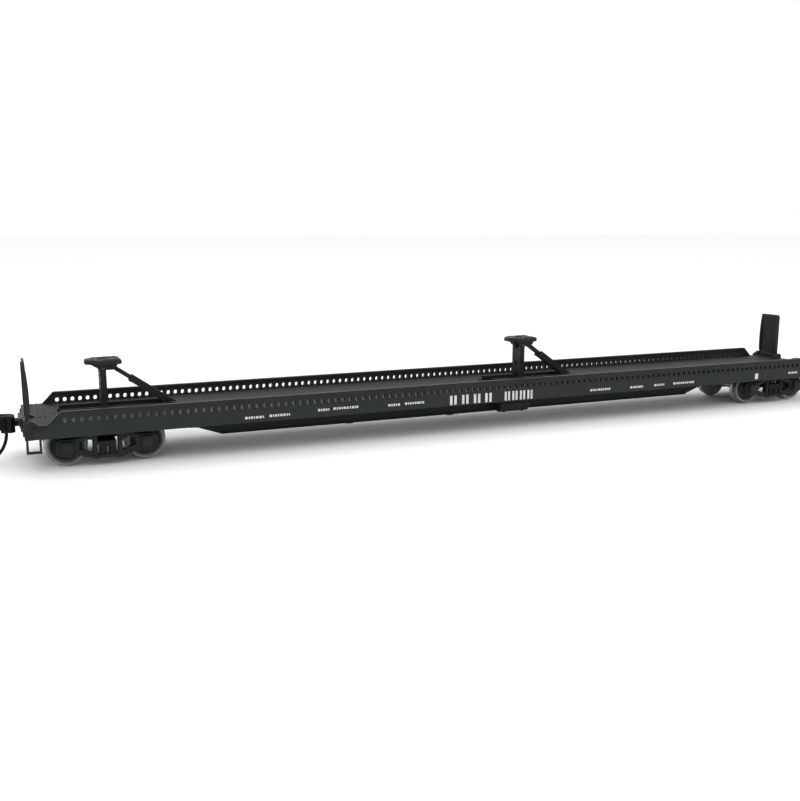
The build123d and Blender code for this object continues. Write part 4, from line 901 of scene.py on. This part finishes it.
def back_ribs(shape, end, plate_low, plate_high):
    """Upright and level ribs on the other face."""
    face = end * PLATE_OUTER_X
    rib_face = face + end * 0.22
    for y in (plate_low.y + 0.9, (plate_low.y + plate_high.y) / 2, plate_high.y - 0.9):
        shape.slab((face, y - 0.25, 14.6), (rib_face, y + 0.25, plate_high.z - 0.9))
    for z in (16.5, 21.0, 25.5):
        shape.slab((face, plate_low.y + 0.6, z - 0.2), (rib_face, plate_high.y - 0.6, z + 0.2))


for number, end in enumerate(ENDS, start=1):
    plate_low, plate_high = millimetres(f"bridge_plate_{number}")
    ribs = Shape()
    tread_lugs(ribs, end, plate_low, plate_high)
    back_ribs(ribs, end, plate_low, plate_high)
    ribs.done(
        f"bridge_plate_{number}_ribs", [PLATE_PAINT], f"bridge_plate_{number}",
        round_edge=0.03,
    )

# ---- Floor, light and camera, in metres ----------------------------------------------------------

floor_mesh = bpy.data.meshes.new("floor")
floor_bm = bmesh.new()
bmesh.ops.create_grid(floor_bm, x_segments=1, y_segments=1, size=6.0)
floor_bm.to_mesh(floor_mesh)
floor_bm.free()
floor = bpy.data.objects.new("floor", floor_mesh)
bpy.context.scene.collection.objects.link(floor)
floor_finish = bpy.data.materials.new("pale_floor")
floor_finish.use_nodes = True
floor_shader = floor_finish.node_tree.nodes["Principled BSDF"]
floor_shader.inputs["Base Color"].default_value = (0.96, 0.96, 0.96, 1)
floor_shader.inputs["Roughness"].default_value = 0.9
floor_mesh.materials.append(floor_finish)

world = bpy.data.worlds.new("studio")
bpy.context.scene.world = world
world.use_nodes = True
world.node_tree.nodes["Background"].inputs["Color"].default_value = (1.0, 1.0, 1.0, 1)
world.node_tree.nodes["Background"].inputs["Strength"].default_value = 1.0


def lamp(name, place, size, power):
    """A soft square lamp that looks at the middle of the car."""
    light = bpy.data.lights.new(name, "AREA")
    light.size = size
    light.energy = power
    obj = bpy.data.objects.new(name, light)
    obj.location = place
    obj.rotation_euler = (Vector((0, 0, 0.01)) - Vector(place)).to_track_quat("-Z", "Y").to_euler()
    bpy.context.scene.collection.objects.link(obj)


lamp("key", (-0.5, -0.7, 0.9), 0.7, 3.0)
lamp("fill", (0.9, -0.5, 0.6), 0.8, 1.2)
lamp("top", (0.1, 0.5, 1.1), 0.9, 2.0)

LOOKS_DOWN, LOOKS_ASIDE = 10.485, 23.106

camera_data = bpy.data.cameras.new("camera")
camera_data.sensor_fit = "HORIZONTAL"
camera_data.sensor_width = 36.0
camera_data.lens = 42.37
camera_data.clip_start = 0.01
camera_data.clip_end = 20.0
camera = bpy.data.objects.new("camera", camera_data)
camera.location = (-0.1351, -0.25865, 0.06062)
camera.rotation_euler = (math.radians(90 - LOOKS_DOWN), 0, math.radians(-LOOKS_ASIDE))
bpy.context.scene.collection.objects.link(camera)
bpy.context.scene.camera = camera
bpy.context.scene.view_settings.view_transform = "Standard"
